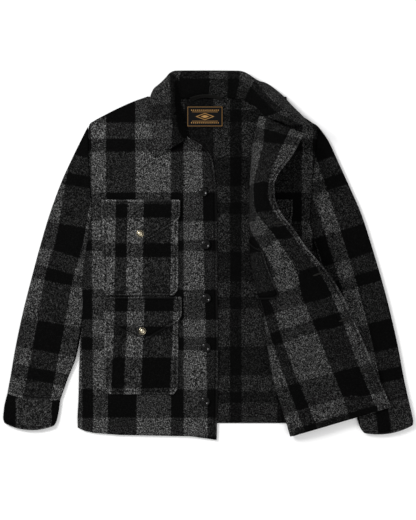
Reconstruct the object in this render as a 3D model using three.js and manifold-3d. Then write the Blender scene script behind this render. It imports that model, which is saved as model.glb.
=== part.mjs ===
// A wool mackinaw jacket laid on its back, with its left front folded open. Millimetres, +Z up, +Y towards the collar.
// Right and left are the wearer's: the right front is at low X. The origin is on the floor, under the chest.
import * as THREE from "three";
import Module from "manifold-3d";

const kernel = await Module();
kernel.setup();

const CLOTH = 2.5; // wall of every cloth piece
const SEAM = 0.3; // gap between two pieces at a seam or where one lies on the other
const SLEEVE_HEIGHT = 8.4; // outside height of a sleeve lying flat
const CUFF_WALL = 2.8;
const CUFF_HEIGHT = 9.4;
const FOLD_RADIUS = 8; // of the roll at the left front's fold
const FACING_WIDTH = 31.5;
const BUTTON = { radius: 10.3, thickness: 3.6, holeRadius: 1.3, holeCircle: 2.7 };
const SNAP = { radius: 8, thickness: 3 };

// Rows with named columns.
function table(names, rows) {
  return rows.map((row) => Object.fromEntries(names.map((name, i) => [name, row[i]])));
}

// A smooth function of the column `at` that runs through every row's `of` without overshooting.
function through(rows, at, of) {
  const points = rows.map((row) => [row[at], row[of]]).sort((p, q) => p[0] - q[0]);
  const last = points.length - 1;
  const slope = [];
  for (let i = 0; i < last; i++)
    slope.push((points[i + 1][1] - points[i][1]) / (points[i + 1][0] - points[i][0]));
  const tangent = points.map((_, i) => {
    if (i === 0) return slope[0];
    if (i === last) return slope[last - 1];
    const product = slope[i - 1] * slope[i];
    return product <= 0 ? 0 : (2 * product) / (slope[i - 1] + slope[i]);
  });
  return (x) => {
    let i = 0;
    while (i < last - 1 && x > points[i + 1][0]) i++;
    const span = points[i + 1][0] - points[i][0];
    const t = Math.min(1, Math.max(0, (x - points[i][0]) / span));
    const s = 1 - t;
    return (
      points[i][1] * (1 + 2 * t) * s * s +
      tangent[i] * span * t * s * s +
      points[i + 1][1] * (3 - 2 * t) * t * t -
      tangent[i + 1] * span * t * t * s
    );
  };
}

const mix = (a, b, t) => a + (b - a) * t;
const clamp01 = (t) => Math.min(1, Math.max(0, t));
const spaced = (from, to, count) => Array.from({ length: count + 1 }, (_, i) => mix(from, to, i / count));

// Straight lines between the corners, for outlines that keep their corners.
function straight(corners) {
  return (x) => {
    let i = 0;
    while (i < corners.length - 2 && x > corners[i + 1][0]) i++;
    const [x0, y0] = corners[i];
    const [x1, y1] = corners[i + 1];
    return mix(y0, y1, clamp01((x - x0) / (x1 - x0)));
  };
}

// A closed mesh from two grids of points that share their rim: upper[i][j] and lower[i][j].
function closed(name, upper, lower) {
  const rows = upper.length;
  const columns = upper[0].length;
  const positions = [];
  for (const grid of [upper, lower])
    for (const row of grid) for (const p of row) positions.push(p.x, p.y, p.z);
  const at = (side, i, j) => side * rows * columns + i * columns + j;
  const faces = [];
  const quad = (a, b, c, d) => faces.push(a, b, c, a, c, d);
  for (let i = 0; i < rows - 1; i++)
    for (let j = 0; j < columns - 1; j++) {
      quad(at(0, i, j), at(0, i, j + 1), at(0, i + 1, j + 1), at(0, i + 1, j));
      quad(at(1, i, j), at(1, i + 1, j), at(1, i + 1, j + 1), at(1, i, j + 1));
    }
  for (let j = 0; j < columns - 1; j++) {
    quad(at(0, 0, j), at(1, 0, j), at(1, 0, j + 1), at(0, 0, j + 1));
    quad(at(0, rows - 1, j + 1), at(1, rows - 1, j + 1), at(1, rows - 1, j), at(0, rows - 1, j));
  }
  for (let i = 0; i < rows - 1; i++) {
    quad(at(0, i + 1, 0), at(1, i + 1, 0), at(1, i, 0), at(0, i, 0));
    quad(at(0, i, columns - 1), at(1, i, columns - 1), at(1, i + 1, columns - 1), at(0, i + 1, columns - 1));
  }
  return facingOut(name, positions, faces);
}

// A closed wall from two grids of rings, each ring closed on itself.
function closedTube(name, outer, inner) {
  const rings = outer.length;
  const around = outer[0].length;
  const positions = [];
  for (const grid of [outer, inner])
    for (const ring of grid) for (const p of ring) positions.push(p.x, p.y, p.z);
  const at = (side, i, j) => side * rings * around + i * around + (j % around);
  const faces = [];
  const quad = (a, b, c, d) => faces.push(a, b, c, a, c, d);
  for (let j = 0; j < around; j++) {
    for (let i = 0; i < rings - 1; i++) {
      quad(at(0, i, j), at(0, i, j + 1), at(0, i + 1, j + 1), at(0, i + 1, j));
      quad(at(1, i, j), at(1, i + 1, j), at(1, i + 1, j + 1), at(1, i, j + 1));
    }
    quad(at(0, 0, j), at(1, 0, j), at(1, 0, j + 1), at(0, 0, j + 1));
    quad(at(0, rings - 1, j + 1), at(1, rings - 1, j + 1), at(1, rings - 1, j), at(0, rings - 1, j));
  }
  return facingOut(name, positions, faces);
}

function facingOut(name, positions, faces) {
  let volume = 0;
  const p = (k) => new THREE.Vector3(positions[3 * k], positions[3 * k + 1], positions[3 * k + 2]);
  for (let f = 0; f < faces.length; f += 3)
    volume += p(faces[f]).dot(p(faces[f + 1]).cross(p(faces[f + 2])));
  if (volume < 0)
    for (let f = 0; f < faces.length; f += 3) [faces[f + 1], faces[f + 2]] = [faces[f + 2], faces[f + 1]];
  const geometry = new THREE.BufferGeometry();
  geometry.setAttribute("position", new THREE.Float32BufferAttribute(positions, 3));
  geometry.setIndex(faces);
  const mesh = new THREE.Mesh(geometry);
  mesh.name = name;
  return mesh;
}

// The unit normals of a grid of points, one for each point.
function normals(grid) {
  const rows = grid.length;
  const columns = grid[0].length;
  return grid.map((row, i) =>
    row.map((_, j) => {
      const along = grid[Math.min(rows - 1, i + 1)][j].clone().sub(grid[Math.max(0, i - 1)][j]);
      const across = row[Math.min(columns - 1, j + 1)].clone().sub(row[Math.max(0, j - 1)]);
      return across.cross(along).normalize();
    }),
  );
}

// The grid moved along its normals by `distance`.
function moved(grid, distance) {
  const normal = normals(grid);
  return grid.map((row, i) => row.map((p, j) => p.clone().addScaledVector(normal[i][j], distance)));
}

// A cloth piece between two distances from a grid of points.
function layer(name, grid, from, to) {
  return closed(name, moved(grid, to), moved(grid, from));
}

// A piece over a ground height, ruled between the plan curves a(u) and b(u).
function ruled(name, stations, across, a, b, ground, from, to, bend = () => 0) {
  const plan = stations.map((u) =>
    spaced(0, 1, across).map((v) => {
      const [ax, ay] = a(u);
      const [bx, by] = b(u);
      const x = mix(ax, bx, v);
      return [x, mix(ay, by, v) - bend(u, x)];
    }),
  );
  const at = (lift) => plan.map((row) => row.map(([x, y]) => new THREE.Vector3(x, y, ground(x, y) + lift)));
  return closed(name, at(to), at(from));
}

// Body outlines in plan, as the X of the cloth's edge at each Y.
const RIGHT_SIDE = table(
  ["y", "x"],
  [
    [-386, -291.5], [-364.5, -292], [-324, -290], [-256.5, -288.5], [-163.5, -283.5], [-121.5, -280],
    [-31.5, -280], [36, -271], [92, -263], [126, -264.5], [193.5, -269], [261, -271], [279, -269],
    [297, -264.5], [303, -256], [317.5, -229.5], [333.5, -197.5], [348.5, -163], [358, -135],
  ],
);
const LEFT_SIDE = table(
  ["y", "x"],
  [
    [-375, 283], [-324, 280], [-279, 275.5], [-189, 264.5], [-99, 255.5], [-27, 249.5], [0, 245.4], [22, 240.8],
    [48, 234.4], [67, 230.5], [115, 232], [171, 235], [238.5, 242], [286, 247.5], [294, 242], [297, 236],
    [314, 207], [338.5, 183.5], [352, 174],
  ],
);
const CENTRE_EDGE = table(
  ["y", "x"],
  [
    [-412.5, 17], [-211.5, 21.5], [-99, 20], [58.5, 19], [137, 18], [180, 14.5], [216, 9], [237, -3.5],
    [253, -21.5], [266.5, -46.5], [279, -53], [308, -62], [340, -67.5], [358, -68.5],
  ],
);
const rightSide = through(RIGHT_SIDE, "y", "x");
const leftSide = through(LEFT_SIDE, "y", "x");
const centreEdge = through(CENTRE_EDGE, "y", "x");

// Soft swells of the right front, each a long low hill: centre, direction in degrees, length, width and height.
const SWELLS = table(
  ["x", "y", "turn", "length", "width", "height"],
  [
    [-215, 180, 70, 120, 34, 1.6],
    [-110, 190, 100, 110, 40, 1.2],
    [-20, 40, 92, 170, 26, 1.1],
    [-255, -60, 88, 130, 20, 1.5],
    [-30, -290, 86, 120, 26, 1.5],
    [-200, -350, 8, 110, 22, 1.2],
  ],
);
function swell(x, y) {
  let height = 0;
  for (const s of SWELLS) {
    const turn = THREE.MathUtils.degToRad(s.turn);
    const along = ((x - s.x) * Math.cos(turn) + (y - s.y) * Math.sin(turn)) / s.length;
    const across = (-(x - s.x) * Math.sin(turn) + (y - s.y) * Math.cos(turn)) / s.width;
    height += s.height * Math.exp(-along * along - across * across);
  }
  return height;
}

const rightFrontUnderside = (x, y) => CLOTH + SEAM + 0.2 + swell(x, y);
const rightFrontTop = (x, y) => rightFrontUnderside(x, y) + CLOTH;

function backPanel() {
  const rows = [-375, -350, -310, -250, -180, -121, -75, -31, 2, 36, 64, 92, 140, 190, 240, 270, 290, 297, 303, 317.5, 333.5, 352];
  const flat = () => 0;
  return ruled("back", rows, 8, (y) => [rightSide(y), y], (y) => [leftSide(y), y], flat, 0, CLOTH);
}

// The right front's rows run level, then drop towards the centre edge near the hem.
function rightFront() {
  const rows = [-386, -370, -340, -300, -250, -200, -160, -121, -75, -31, 2, 36, 64, 92, 126, 160, 193.5, 216, 237, 250, 261, 268, 279, 297, 303, 317.5, 333.5, 348.5, 358];
  const drop = (y) => clamp01((-250 - y) / 136);
  const hem = straight([[-291.5, 0], [-278, 6.5], [-255, 11], [-199, 15.5], [-39.5, 18.5], [17, 26.5]]);
  return ruled(
    "front_right", rows, 14,
    (y) => [rightSide(y), y],
    (y) => [centreEdge(y), y],
    rightFrontUnderside, 0, CLOTH,
    (y, x) => hem(x) * drop(y),
  );
}

// Patch pockets and their pointed flaps, by their edges in plan.
const POCKETS = table(
  ["name", "left", "right", "top", "bottom", "flapLeft", "flapRight", "shoulder", "tipX", "tipY"],
  [
    ["chest", -237.5, -68.5, 124, -88, -239.5, -64, 90, -152, 27],
    ["hip", -233, -68.5, -94, -310, -235, -60.5, -133, -147.5, -191],
  ],
);
function pocket(p) {
  const chamfer = 14;
  const inset = straight([[p.bottom, chamfer * 0.7], [p.bottom + chamfer, 0], [p.top, 0]]);
  const rows = [p.bottom, p.bottom + chamfer, ...spaced(p.bottom + chamfer + 18, p.top, 8)];
  return ruled(
    `pocket_${p.name}_right`, rows, 8,
    (y) => [p.left + inset(y), y],
    (y) => [p.right - inset(y), y],
    rightFrontTop, SEAM, SEAM + CLOTH,
  );
}
function flap(p) {
  const corner = 6;
  const low = straight([
    [p.flapLeft, p.shoulder],
    [p.flapLeft + corner, p.shoulder - 2.2 * corner],
    [p.tipX, p.tipY],
    [p.flapRight - corner * 1.5, p.shoulder - 2.2 * corner],
    [p.flapRight, p.shoulder],
  ]);
  const columns = [
    p.flapLeft, p.flapLeft + corner, ...spaced(p.flapLeft + 28, p.tipX, 3), ...spaced(p.tipX + 20, p.flapRight - corner * 1.5, 3), p.flapRight,
  ];
  const lift = 2 * SEAM + CLOTH;
  return ruled(`flap_${p.name}_right`, columns, 4, (x) => [x, p.top + 2], (x) => [x, low(x)], rightFrontTop, lift, lift + CLOTH);
}

// The left front, from the side seam under it, round the fold and up to its free edge, at rows down the front.
// rise, crest and reach shape the curve from the fold to the edge; bow lifts the first row up to the shoulder.
const LEFT_FRONT = table(
  ["foldX", "foldY", "edgeX", "edgeY", "edgeZ", "rise", "crest", "reach", "sideX", "sideY", "bow"],
  [
    [115, 313, 210.5, 269, 55, 12, 44, 0.5, 246.5, 289, 52],
    [99.5, 245, 191, 233, 78, 34, 74, 0.4, 241, 238.5, 12],
    [96.5, 205, 168.5, 199.5, 92, 52, 96, 0.3, 238, 205, 0],
    [94.5, 175.5, 150.5, 176.5, 98, 64, 110, 0.25, 234.5, 175.5, 0],
    [93, 148.5, 143, 153, 101, 70, 118, 0.2, 232.5, 148.5, 0],
    [93.5, 124, 144, 128, 102, 68, 118, 0.2, 231, 124, 0],
    [93, 81, 161, 88, 101, 60, 114, 0.25, 229.5, 81, 0],
    [93.5, 54, 181, 65, 99, 52, 108, 0.3, 233, 54, 0],
    [99, -13.5, 216.5, 16, 85, 42, 98, 0.35, 247.5, -13.5, 0],
    [110, -72, 254.5, -27, 70, 36, 88, 0.4, 252.5, -72, 0],
    [124, -124, 285.5, -69, 56, 28, 72, 0.42, 254.5, -124, 0],
    [133.5, -205, 323.5, -143.5, 36, 20, 48, 0.45, 265, -205, 0],
    [148.5, -286, 359.5, -224.5, 22, 13, 32, 0.5, 274.5, -279, 0],
    [170, -355.5, 389, -292.5, 14.5, 10, 25, 0.5, 280, -335, 0],
    [184, -404, 409.5, -338, 12.2, 8, 20, 0.5, 281.5, -373, 0],
  ],
);
const leftFrontAt = Object.fromEntries(
  Object.keys(LEFT_FRONT[0]).map((column) => [column, through(LEFT_FRONT, "foldY", column)]),
);
const LOWER_MID = CLOTH + SEAM + 0.25 + CLOTH / 2; // middle of the lower layer's wall

// The points of one row from the side seam to the free edge: `low` on the lower layer, 4 round the fold, `high` above it.
function leftFrontRow(y, low, high) {
  const at = (column) => leftFrontAt[column](y);
  const side = new THREE.Vector3(at("sideX"), at("sideY"), LOWER_MID);
  const fold = new THREE.Vector3(at("foldX"), y, LOWER_MID + FOLD_RADIUS);
  const edge = new THREE.Vector3(at("edgeX"), at("edgeY"), at("edgeZ"));
  const start = new THREE.Vector3(fold.x + FOLD_RADIUS, y, LOWER_MID);
  const middle = side.clone().lerp(start, 0.75).add(new THREE.Vector3(0, at("bow"), 0));
  const under = new THREE.QuadraticBezierCurve3(side, middle, start);
  const roll = new THREE.CubicBezierCurve3(
    start,
    start.clone().add(new THREE.Vector3(-FOLD_RADIUS * 0.55, 0, 0)),
    fold.clone().add(new THREE.Vector3(0, 0, -FOLD_RADIUS * 0.55)),
    fold,
  );
  const over = new THREE.CubicBezierCurve3(
    fold,
    fold.clone().add(new THREE.Vector3(0, 0, at("rise"))),
    fold.clone().lerp(edge, at("reach")).setZ(at("crest")),
    edge,
  );
  return [
    ...spaced(0, 1, low).slice(0, -1).map((t) => under.getPoint(t)),
    ...spaced(0, 1, 4).slice(0, -1).map((t) => roll.getPoint(t)),
    ...spaced(0, 1, high).map((t) => over.getPointAt(t)),
  ];
}
const OVER_STEPS = 16; // points from the fold to the free edge
const LEFT_FRONT_ROWS = [
  313, 290, 268, 245, 225, 205, 188, 172, 155, 138, 120, 100, 81, 62, 40, 14, -13.5, -42, -72, -98, -124, -150, -178, -205,
  -232, -259, -286, -312, -337, -362, -385, -404,
];
const leftFrontGrid = LEFT_FRONT_ROWS.map((y) => leftFrontRow(y, 7, OVER_STEPS));
const leftFrontNormals = normals(leftFrontGrid);
function leftFront() {
  return layer("front_left", leftFrontGrid, -CLOTH / 2, CLOTH / 2);
}


// The same surface lifted off the cloth on its inside face, sampled by row height and distance from the free edge.
function raisedFront(lift) {
  const rows = leftFrontGrid.map((row, i) => {
    const lifted = row.map((p, j) => p.clone().addScaledVector(leftFrontNormals[i][j], -lift)).reverse();
    const back = [...row].reverse();
    const run = [0];
    for (let k = 1; k < back.length; k++) run.push(run[k - 1] + back[k].distanceTo(back[k - 1]));
    return { lifted, run };
  });
  const along = ({ lifted, run }, d) => {
    let k = 0;
    while (k < run.length - 2 && d > run[k + 1]) k++;
    return lifted[k].clone().lerp(lifted[k + 1], (d - run[k]) / (run[k + 1] - run[k]));
  };
  return (y, fromEdge, fromFold = 0) => {
    let i = 0;
    while (i < rows.length - 2 && y < LEFT_FRONT_ROWS[i + 1]) i++;
    const t = (LEFT_FRONT_ROWS[i] - y) / (LEFT_FRONT_ROWS[i] - LEFT_FRONT_ROWS[i + 1]);
    const [above, below] = [rows[i], rows[i + 1]].map((row) => along(row, fromEdge ?? row.run[OVER_STEPS] - fromFold));
    return above.lerp(below, t);
  };
}

// A piece on the raised front between two heights: its grid of places, each [y, from the edge, from the fold].
function onRaisedFront(name, places, from, to) {
  const grid = (lift) => {
    const sample = raisedFront(lift);
    return places.map((row) => row.map((place) => sample(...place)));
  };
  return closed(name, grid(to), grid(from));
}
const ON_TOP = CLOTH / 2 + SEAM + 0.3;

function buttonholeFacing() {
  const places = LEFT_FRONT_ROWS.slice(0, -1).map((y) => spaced(FACING_WIDTH, 1, 4).map((d) => [y, d]));
  return onRaisedFront("facing_left", places, ON_TOP, ON_TOP + 1.5);
}

// The patch pocket inside the left front, next to the fold, by its slanted mouth and its foot at distances from the fold.
const POCKET_MOUTH = straight([[-4, 37], [64, 8]]);
const POCKET_FOOT = straight([[-4, -84], [10, -96], [52, -103], [64, -96]]);
function innerPocket() {
  const columns = [-4, -1, 2, 6, 10, 14, ...spaced(22, 52, 4), 58, 64];
  const places = spaced(0, 1, 10).map((t) => columns.map((d) => [mix(POCKET_MOUTH(d), POCKET_FOOT(d), t), null, d]));
  return onRaisedFront("pocket_inner_left", places, ON_TOP + 0.2, ON_TOP + 2.2);
}

function leftHemTurnUp() {
  const places = [-402.5, -391].map((y) => spaced(14, 204, 14).map((d) => [y, null, d]));
  return onRaisedFront("hem_left", places, ON_TOP, ON_TOP + 1.5);
}

// The end of the left chest pocket that shows beside the raised front.
function leftChestPocket() {
  const top = () => LOWER_MID + CLOTH / 2;
  const body = ruled(
    "pocket_chest_left", [-60, -20, 20, 60, 100, 124], 3,
    (y) => [122, y], (y) => [186, y], top, SEAM, SEAM + CLOTH,
  );
  const low = straight([[122, 46], [178, 77], [188, 90]]);
  const lift = 2 * SEAM + CLOTH;
  const cover = ruled(
    "flap_chest_left", [120, 140, 160, 178, 188], 3,
    (x) => [x, 126], (x) => [x, low(x)], top, lift, lift + CLOTH,
  );
  return [body, cover];
}

// A sleeve or cuff lying flat: each row is a ring from its outer edge to its inner one in plan.
// sag moves the ring's middle towards the wrist.
const RING = table(
  ["side", "turn"],
  [
    ["outer", -90], ["outer", -140], ["outer", 180], ["outer", 140], ["outer", 90],
    ["top", 0.25], ["top", 0.5], ["top", 0.75],
    ["inner", 90], ["inner", 40], ["inner", 0], ["inner", -40], ["inner", -90],
    ["bottom", 0.75], ["bottom", 0.5], ["bottom", 0.25],
  ],
);
function flatTube(name, rows, height, wall, towardsWrist) {
  const ring = (row, inset) => {
    const a = new THREE.Vector2(row.outerX, row.outerY);
    const b = new THREE.Vector2(row.innerX, row.innerY);
    const width = a.distanceTo(b);
    const along = b.clone().sub(a).divideScalar(width);
    const across = new THREE.Vector2(-along.y, along.x).multiplyScalar(towardsWrist);
    const centre = height / 2;
    const radius = centre - inset;
    return RING.map(({ side, turn }) => {
      let s, z;
      if (side === "outer" || side === "inner") {
        const angle = THREE.MathUtils.degToRad(turn);
        s = (side === "outer" ? centre : width - centre) + radius * Math.cos(angle);
        z = centre + radius * Math.sin(angle);
      } else {
        s = mix(centre, width - centre, turn);
        z = side === "top" ? centre + radius + (row.puff ?? 0) * 4 * turn * (1 - turn) : centre - radius;
      }
      const t = s / width;
      const p = a.clone().addScaledVector(along, s).addScaledVector(across, row.sag * 4 * t * (1 - t));
      return new THREE.Vector3(p.x, p.y, z);
    });
  };
  return closedTube(name, rows.map((row) => ring(row, 0)), rows.map((row) => ring(row, wall)));
}

// Rows between the table's rows, by how far down the sleeve they are.
function filled(rows, count) {
  const keyed = rows.map((row, i) => ({ ...row, down: i }));
  const columns = Object.keys(rows[0]).map((column) => [column, through(keyed, "down", column)]);
  return spaced(0, rows.length - 1, count).map((down) => Object.fromEntries(columns.map(([column, f]) => [column, f(down)])));
}

const SLEEVE_COLUMNS = ["outerX", "outerY", "innerX", "innerY", "sag", "puff"];
const SLEEVE_RIGHT = table(SLEEVE_COLUMNS, [
  [-271.5, 290, -264.4, 93, 2.2, 0],
  [-288, 257, -270, 66, 8, 0.2],
  [-306, 220, -272.5, 36, 8, 0.4],
  [-328.5, 171, -277.5, 2, 8, 0.5],
  [-356.5, 95.5, -282, -36, 7, 0.3],
  [-379, 20, -282, -80, 6, 0.1],
  [-398, -51, -282.5, -124, 5, 0.3],
  [-416.5, -124, -286, -166, 4, 0.5],
  [-435, -211.5, -297, -226, 4, 0.4],
  [-444, -265, -316, -275, 4, 0.2],
  [-452, -309, -333, -323, 6, 0],
]);
const SLEEVE_LEFT = table(SLEEVE_COLUMNS, [
  [248.9, 288, 231.7, 67, -3.8, 0],
  [268, 261, 236.5, 48, 0, 0.2],
  [292.5, 209, 242.5, 22, 4, 0.4],
  [317, 155, 250, -10, 4, 0.4],
  [341.5, 99, 260, -50, 4, 0.3],
  [371.5, 7, 273.5, -104, 4, 0.1],
  [401, -97, 290, -172, 3, 0],
  [425, -200, 308, -246, 3, 0],
  [440, -279, 322, -305, 1, 0],
  [448.5, -318, 331.5, -348, 0, 0],
]);
const CUFF_RIGHT = table(SLEEVE_COLUMNS, [
  [-452.1, -309.6, -333.1, -323.6, 6, 0],
  [-459, -338, -336, -346, 8, 0],
  [-461.5, -363, -341, -370, 11, 0],
  [-459, -374, -346, -380, 13, 0],
]);
const CUFF_LEFT = table(SLEEVE_COLUMNS, [
  [448.6, -318.5, 331.6, -348.5, 0, 0],
  [455, -346, 335, -368, 4, 0],
  [460, -371, 341, -386, 9, 0],
  [459, -379, 349, -397, 10, 0],
]);

// The collar round the neck, from the right front's edge to the left front's, by its seam, ridge and free edge.
const COLLAR = table(
  ["seamX", "seamY", "seamZ", "ridgeX", "ridgeY", "ridgeZ", "edgeX", "edgeY", "edgeZ"],
  [
    [-48.5, 267, 7.3, -57.5, 257.5, 14, -122.5, 220.5, 10],
    [-51, 283, 7.3, -76.5, 277, 24, -125.5, 259, 11],
    [-58, 312, 7.3, -83.5, 322, 28, -127, 304, 11],
    [-63, 340, 7.2, -85, 366, 25, -131, 350, 10],
    [-60, 354, 5.6, -86, 404, 16, -114, 381, 3.5],
    [-44, 355.5, 5, -72, 417, 8, -76, 366, 1.3],
    [-4, 355, 5, -4, 417.3, 7.5, -4, 363, 1.3],
    [46, 355.5, 5, 69, 416.5, 8, 58, 364, 1.3],
    [80, 350, 7, 104, 392, 24, 115, 391, 4],
    [106, 334, 17, 134, 353, 45, 157, 367, 11],
    [129, 311, 29, 166, 322, 60, 187, 335, 20],
    [157, 300, 43, 197, 304, 68, 212, 308, 30],
    [180, 290, 50, 216, 290, 67, 237, 270, 48],
  ],
);
function collar() {
  const keyed = COLLAR.map((row, i) => ({ ...row, round: i }));
  const at = Object.fromEntries(Object.keys(COLLAR[0]).map((column) => [column, through(keyed, "round", column)]));
  const grid = spaced(0, COLLAR.length - 1, 36).map((round) => {
    const point = (name) => new THREE.Vector3(at[`${name}X`](round), at[`${name}Y`](round), at[`${name}Z`](round));
    const seam = point("seam");
    const ridge = point("ridge");
    const edge = point("edge");
    // The ridge is a narrow turn, so it takes two corners a little apart.
    const apart = seam.clone().sub(ridge).normalize().sub(edge.clone().sub(ridge).normalize()).normalize().multiplyScalar(3);
    const first = ridge.clone().add(apart);
    const second = ridge.clone().sub(apart);
    const rise = new THREE.QuadraticBezierCurve3(seam, seam.clone().lerp(first, 0.6), seam.clone().lerp(first, 0.85));
    const turn = new THREE.CubicBezierCurve3(seam.clone().lerp(first, 0.85), first, second, second.clone().lerp(edge, 0.12));
    const fall = new THREE.QuadraticBezierCurve3(second.clone().lerp(edge, 0.12), second.clone().lerp(edge, 0.5), edge);
    return [
      ...spaced(0, 1, 3).slice(0, -1).map((t) => rise.getPoint(t)),
      ...spaced(0, 1, 5).slice(0, -1).map((t) => turn.getPoint(t)),
      ...spaced(0, 1, 4).map((t) => fall.getPoint(t)),
    ];
  });
  return layer("collar", grid, -CLOTH / 2, CLOTH / 2);
}

function backHemTurnUp() {
  return ruled("hem_back", [-373, -362], 6, (y) => [23, y], (y) => [166, y], () => CLOTH, SEAM, SEAM + 1.5);
}
function label() {
  return ruled("label", [290, 337], 2, (y) => [-48.5, y], (y) => [32.5, y], () => CLOTH, SEAM, SEAM + 0.9);
}
function hangerLoop() {
  const middle = (x) => 352 + 8 * (1 - ((x + 5.5) / 36) ** 2);
  const ground = () => 7;
  return ruled("hanger_loop", spaced(-41.5, 30.5, 10), 1, (x) => [x, middle(x) - 3], (x) => [x, middle(x) + 3], ground, 0, 1.2);
}

function toManifold(geometry) {
  const merged = geometry.index ? geometry : geometry.clone();
  return new kernel.Manifold(
    new kernel.Mesh({
      numProp: 3,
      vertProperties: new Float32Array(merged.attributes.position.array),
      triVerts: new Uint32Array(merged.index.array),
    }),
  );
}
function fromManifold(solid) {
  const mesh = solid.getMesh();
  const geometry = new THREE.BufferGeometry();
  geometry.setAttribute("position", new THREE.Float32BufferAttribute(mesh.vertProperties, 3));
  geometry.setIndex([...mesh.triVerts]);
  return geometry;
}

// A body of revolution about Z from [radius, z] corners that start and end on the axis.
function turned(profile, segments) {
  const positions = [0, 0, profile[0][1]];
  const faces = [];
  const inside = profile.slice(1, -1);
  for (const [radius, z] of inside)
    for (let k = 0; k < segments; k++) {
      const angle = (2 * Math.PI * k) / segments;
      positions.push(radius * Math.cos(angle), radius * Math.sin(angle), z);
    }
  positions.push(0, 0, profile[profile.length - 1][1]);
  const last = positions.length / 3 - 1;
  const at = (i, k) => 1 + i * segments + (k % segments);
  for (let k = 0; k < segments; k++) {
    faces.push(0, at(0, k + 1), at(0, k));
    faces.push(last, at(inside.length - 1, k), at(inside.length - 1, k + 1));
    for (let i = 0; i < inside.length - 1; i++)
      faces.push(at(i, k), at(i, k + 1), at(i + 1, k + 1), at(i, k), at(i + 1, k + 1), at(i + 1, k));
  }
  return facingOut("turned", positions, faces).geometry;
}

function buttonGeometry() {
  const { radius, thickness, holeRadius, holeCircle } = BUTTON;
  const blank = turned(
    [[0, 0], [radius - 1.5, 0], [radius, 1.2], [radius, thickness - 1], [radius - 0.9, thickness], [radius - 2.4, thickness - 0.2], [radius - 4, thickness - 1.2], [0, thickness - 1.2]],
    24,
  );
  let solid = toManifold(blank);
  for (let k = 0; k < 4; k++) {
    const hole = turned([[0, -1], [holeRadius, -1], [holeRadius, thickness + 1], [0, thickness + 1]], 8);
    const angle = Math.PI / 4 + (k * Math.PI) / 2;
    hole.translate(holeCircle * Math.cos(angle), holeCircle * Math.sin(angle), 0);
    solid = solid.subtract(toManifold(hole));
  }
  return fromManifold(solid);
}
function snapGeometry() {
  const { radius, thickness } = SNAP;
  return turned([[0, 0], [radius, 0], [radius, 0.6], [radius * 0.85, thickness * 0.62], [radius * 0.5, thickness * 0.92], [0, thickness]], 24);
}

// The highest ground under a disc, so that a stiff disc lies on soft cloth without cutting it.
function highestUnder(ground, x, y, radius) {
  let highest = ground(x, y);
  for (let k = 0; k < 12; k++)
    highest = Math.max(highest, ground(x + radius * Math.cos(k * 0.5236), y + radius * Math.sin(k * 0.5236)));
  return highest;
}
function disc(name, geometry, x, y, z) {
  const mesh = new THREE.Mesh(geometry.clone().translate(x, y, z));
  mesh.name = name;
  return mesh;
}
const BUTTONS = table(["x", "y"], [[-11.5, 144], [-6, 26], [-4.5, -94.5], [-5.5, -205], [-7.5, -326]]);

const jacket = new THREE.Group();
jacket.add(backPanel(), rightFront(), leftFront(), collar());
jacket.add(flatTube("sleeve_right", filled(SLEEVE_RIGHT, 20), SLEEVE_HEIGHT, CLOTH, -1));
jacket.add(flatTube("sleeve_left", filled(SLEEVE_LEFT, 20), SLEEVE_HEIGHT, CLOTH, 1));
jacket.add(flatTube("cuff_right", CUFF_RIGHT, CUFF_HEIGHT, CUFF_WALL, -1));
jacket.add(flatTube("cuff_left", CUFF_LEFT, CUFF_HEIGHT, CUFF_WALL, 1));
for (const p of POCKETS) jacket.add(pocket(p), flap(p));
jacket.add(...leftChestPocket(), buttonholeFacing(), innerPocket(), leftHemTurnUp(), backHemTurnUp());
jacket.add(label(), hangerLoop());

const button = buttonGeometry();
BUTTONS.forEach(({ x, y }, i) => {
  const z = highestUnder(rightFrontTop, x, y, BUTTON.radius) + SEAM;
  jacket.add(disc(`button_${i + 1}`, button, x, y, z));
});
const snap = snapGeometry();
const flapTop = (x, y) => rightFrontTop(x, y) + 2 * (SEAM + CLOTH);
for (const [name, x, y] of [["snap_chest_right", -153, 50], ["snap_hip_right", -148, -168.5]])
  jacket.add(disc(name, snap, x, y, highestUnder(flapTop, x, y, SNAP.radius) + SEAM));

export default jacket;
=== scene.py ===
"""Dresses a plaid wool jacket that lies on its back with its left front folded open.

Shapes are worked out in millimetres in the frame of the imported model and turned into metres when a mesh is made.
Right and left are the wearer's, so the right front lies at low X. Y runs towards the collar and Z up from the floor.
The sett is the cloth's pattern of stripes. Each piece has a map of its place in the sett, and the wool reads it.
"""

from __future__ import annotations

import logging
import math
from dataclasses import dataclass, field
from enum import Enum
from typing import Callable, Mapping, Sequence, Union

import bpy
import numpy as np
from mathutils import Matrix, Vector

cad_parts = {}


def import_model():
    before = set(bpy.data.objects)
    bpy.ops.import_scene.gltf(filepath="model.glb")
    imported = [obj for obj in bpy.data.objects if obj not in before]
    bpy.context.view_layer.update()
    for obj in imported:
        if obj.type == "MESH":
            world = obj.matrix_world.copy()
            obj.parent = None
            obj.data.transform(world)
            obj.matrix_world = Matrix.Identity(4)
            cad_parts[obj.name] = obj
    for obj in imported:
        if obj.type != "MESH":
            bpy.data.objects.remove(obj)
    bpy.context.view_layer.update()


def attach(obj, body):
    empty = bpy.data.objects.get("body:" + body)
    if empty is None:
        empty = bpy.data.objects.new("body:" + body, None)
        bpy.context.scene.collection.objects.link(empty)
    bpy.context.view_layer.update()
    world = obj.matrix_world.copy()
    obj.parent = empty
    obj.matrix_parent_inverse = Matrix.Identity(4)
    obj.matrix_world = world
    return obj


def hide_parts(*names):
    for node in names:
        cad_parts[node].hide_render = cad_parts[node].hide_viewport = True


LOG = logging.getLogger("jacket")

# One millimetre in metres. The sizes after it are in millimetres.
MM = 0.001
CLOTH = 2.5
TRIM = 1.5
SEAM = 0.3
FOLD_RADIUS = 8.0
FACING_WIDTH = 31.5
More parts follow.
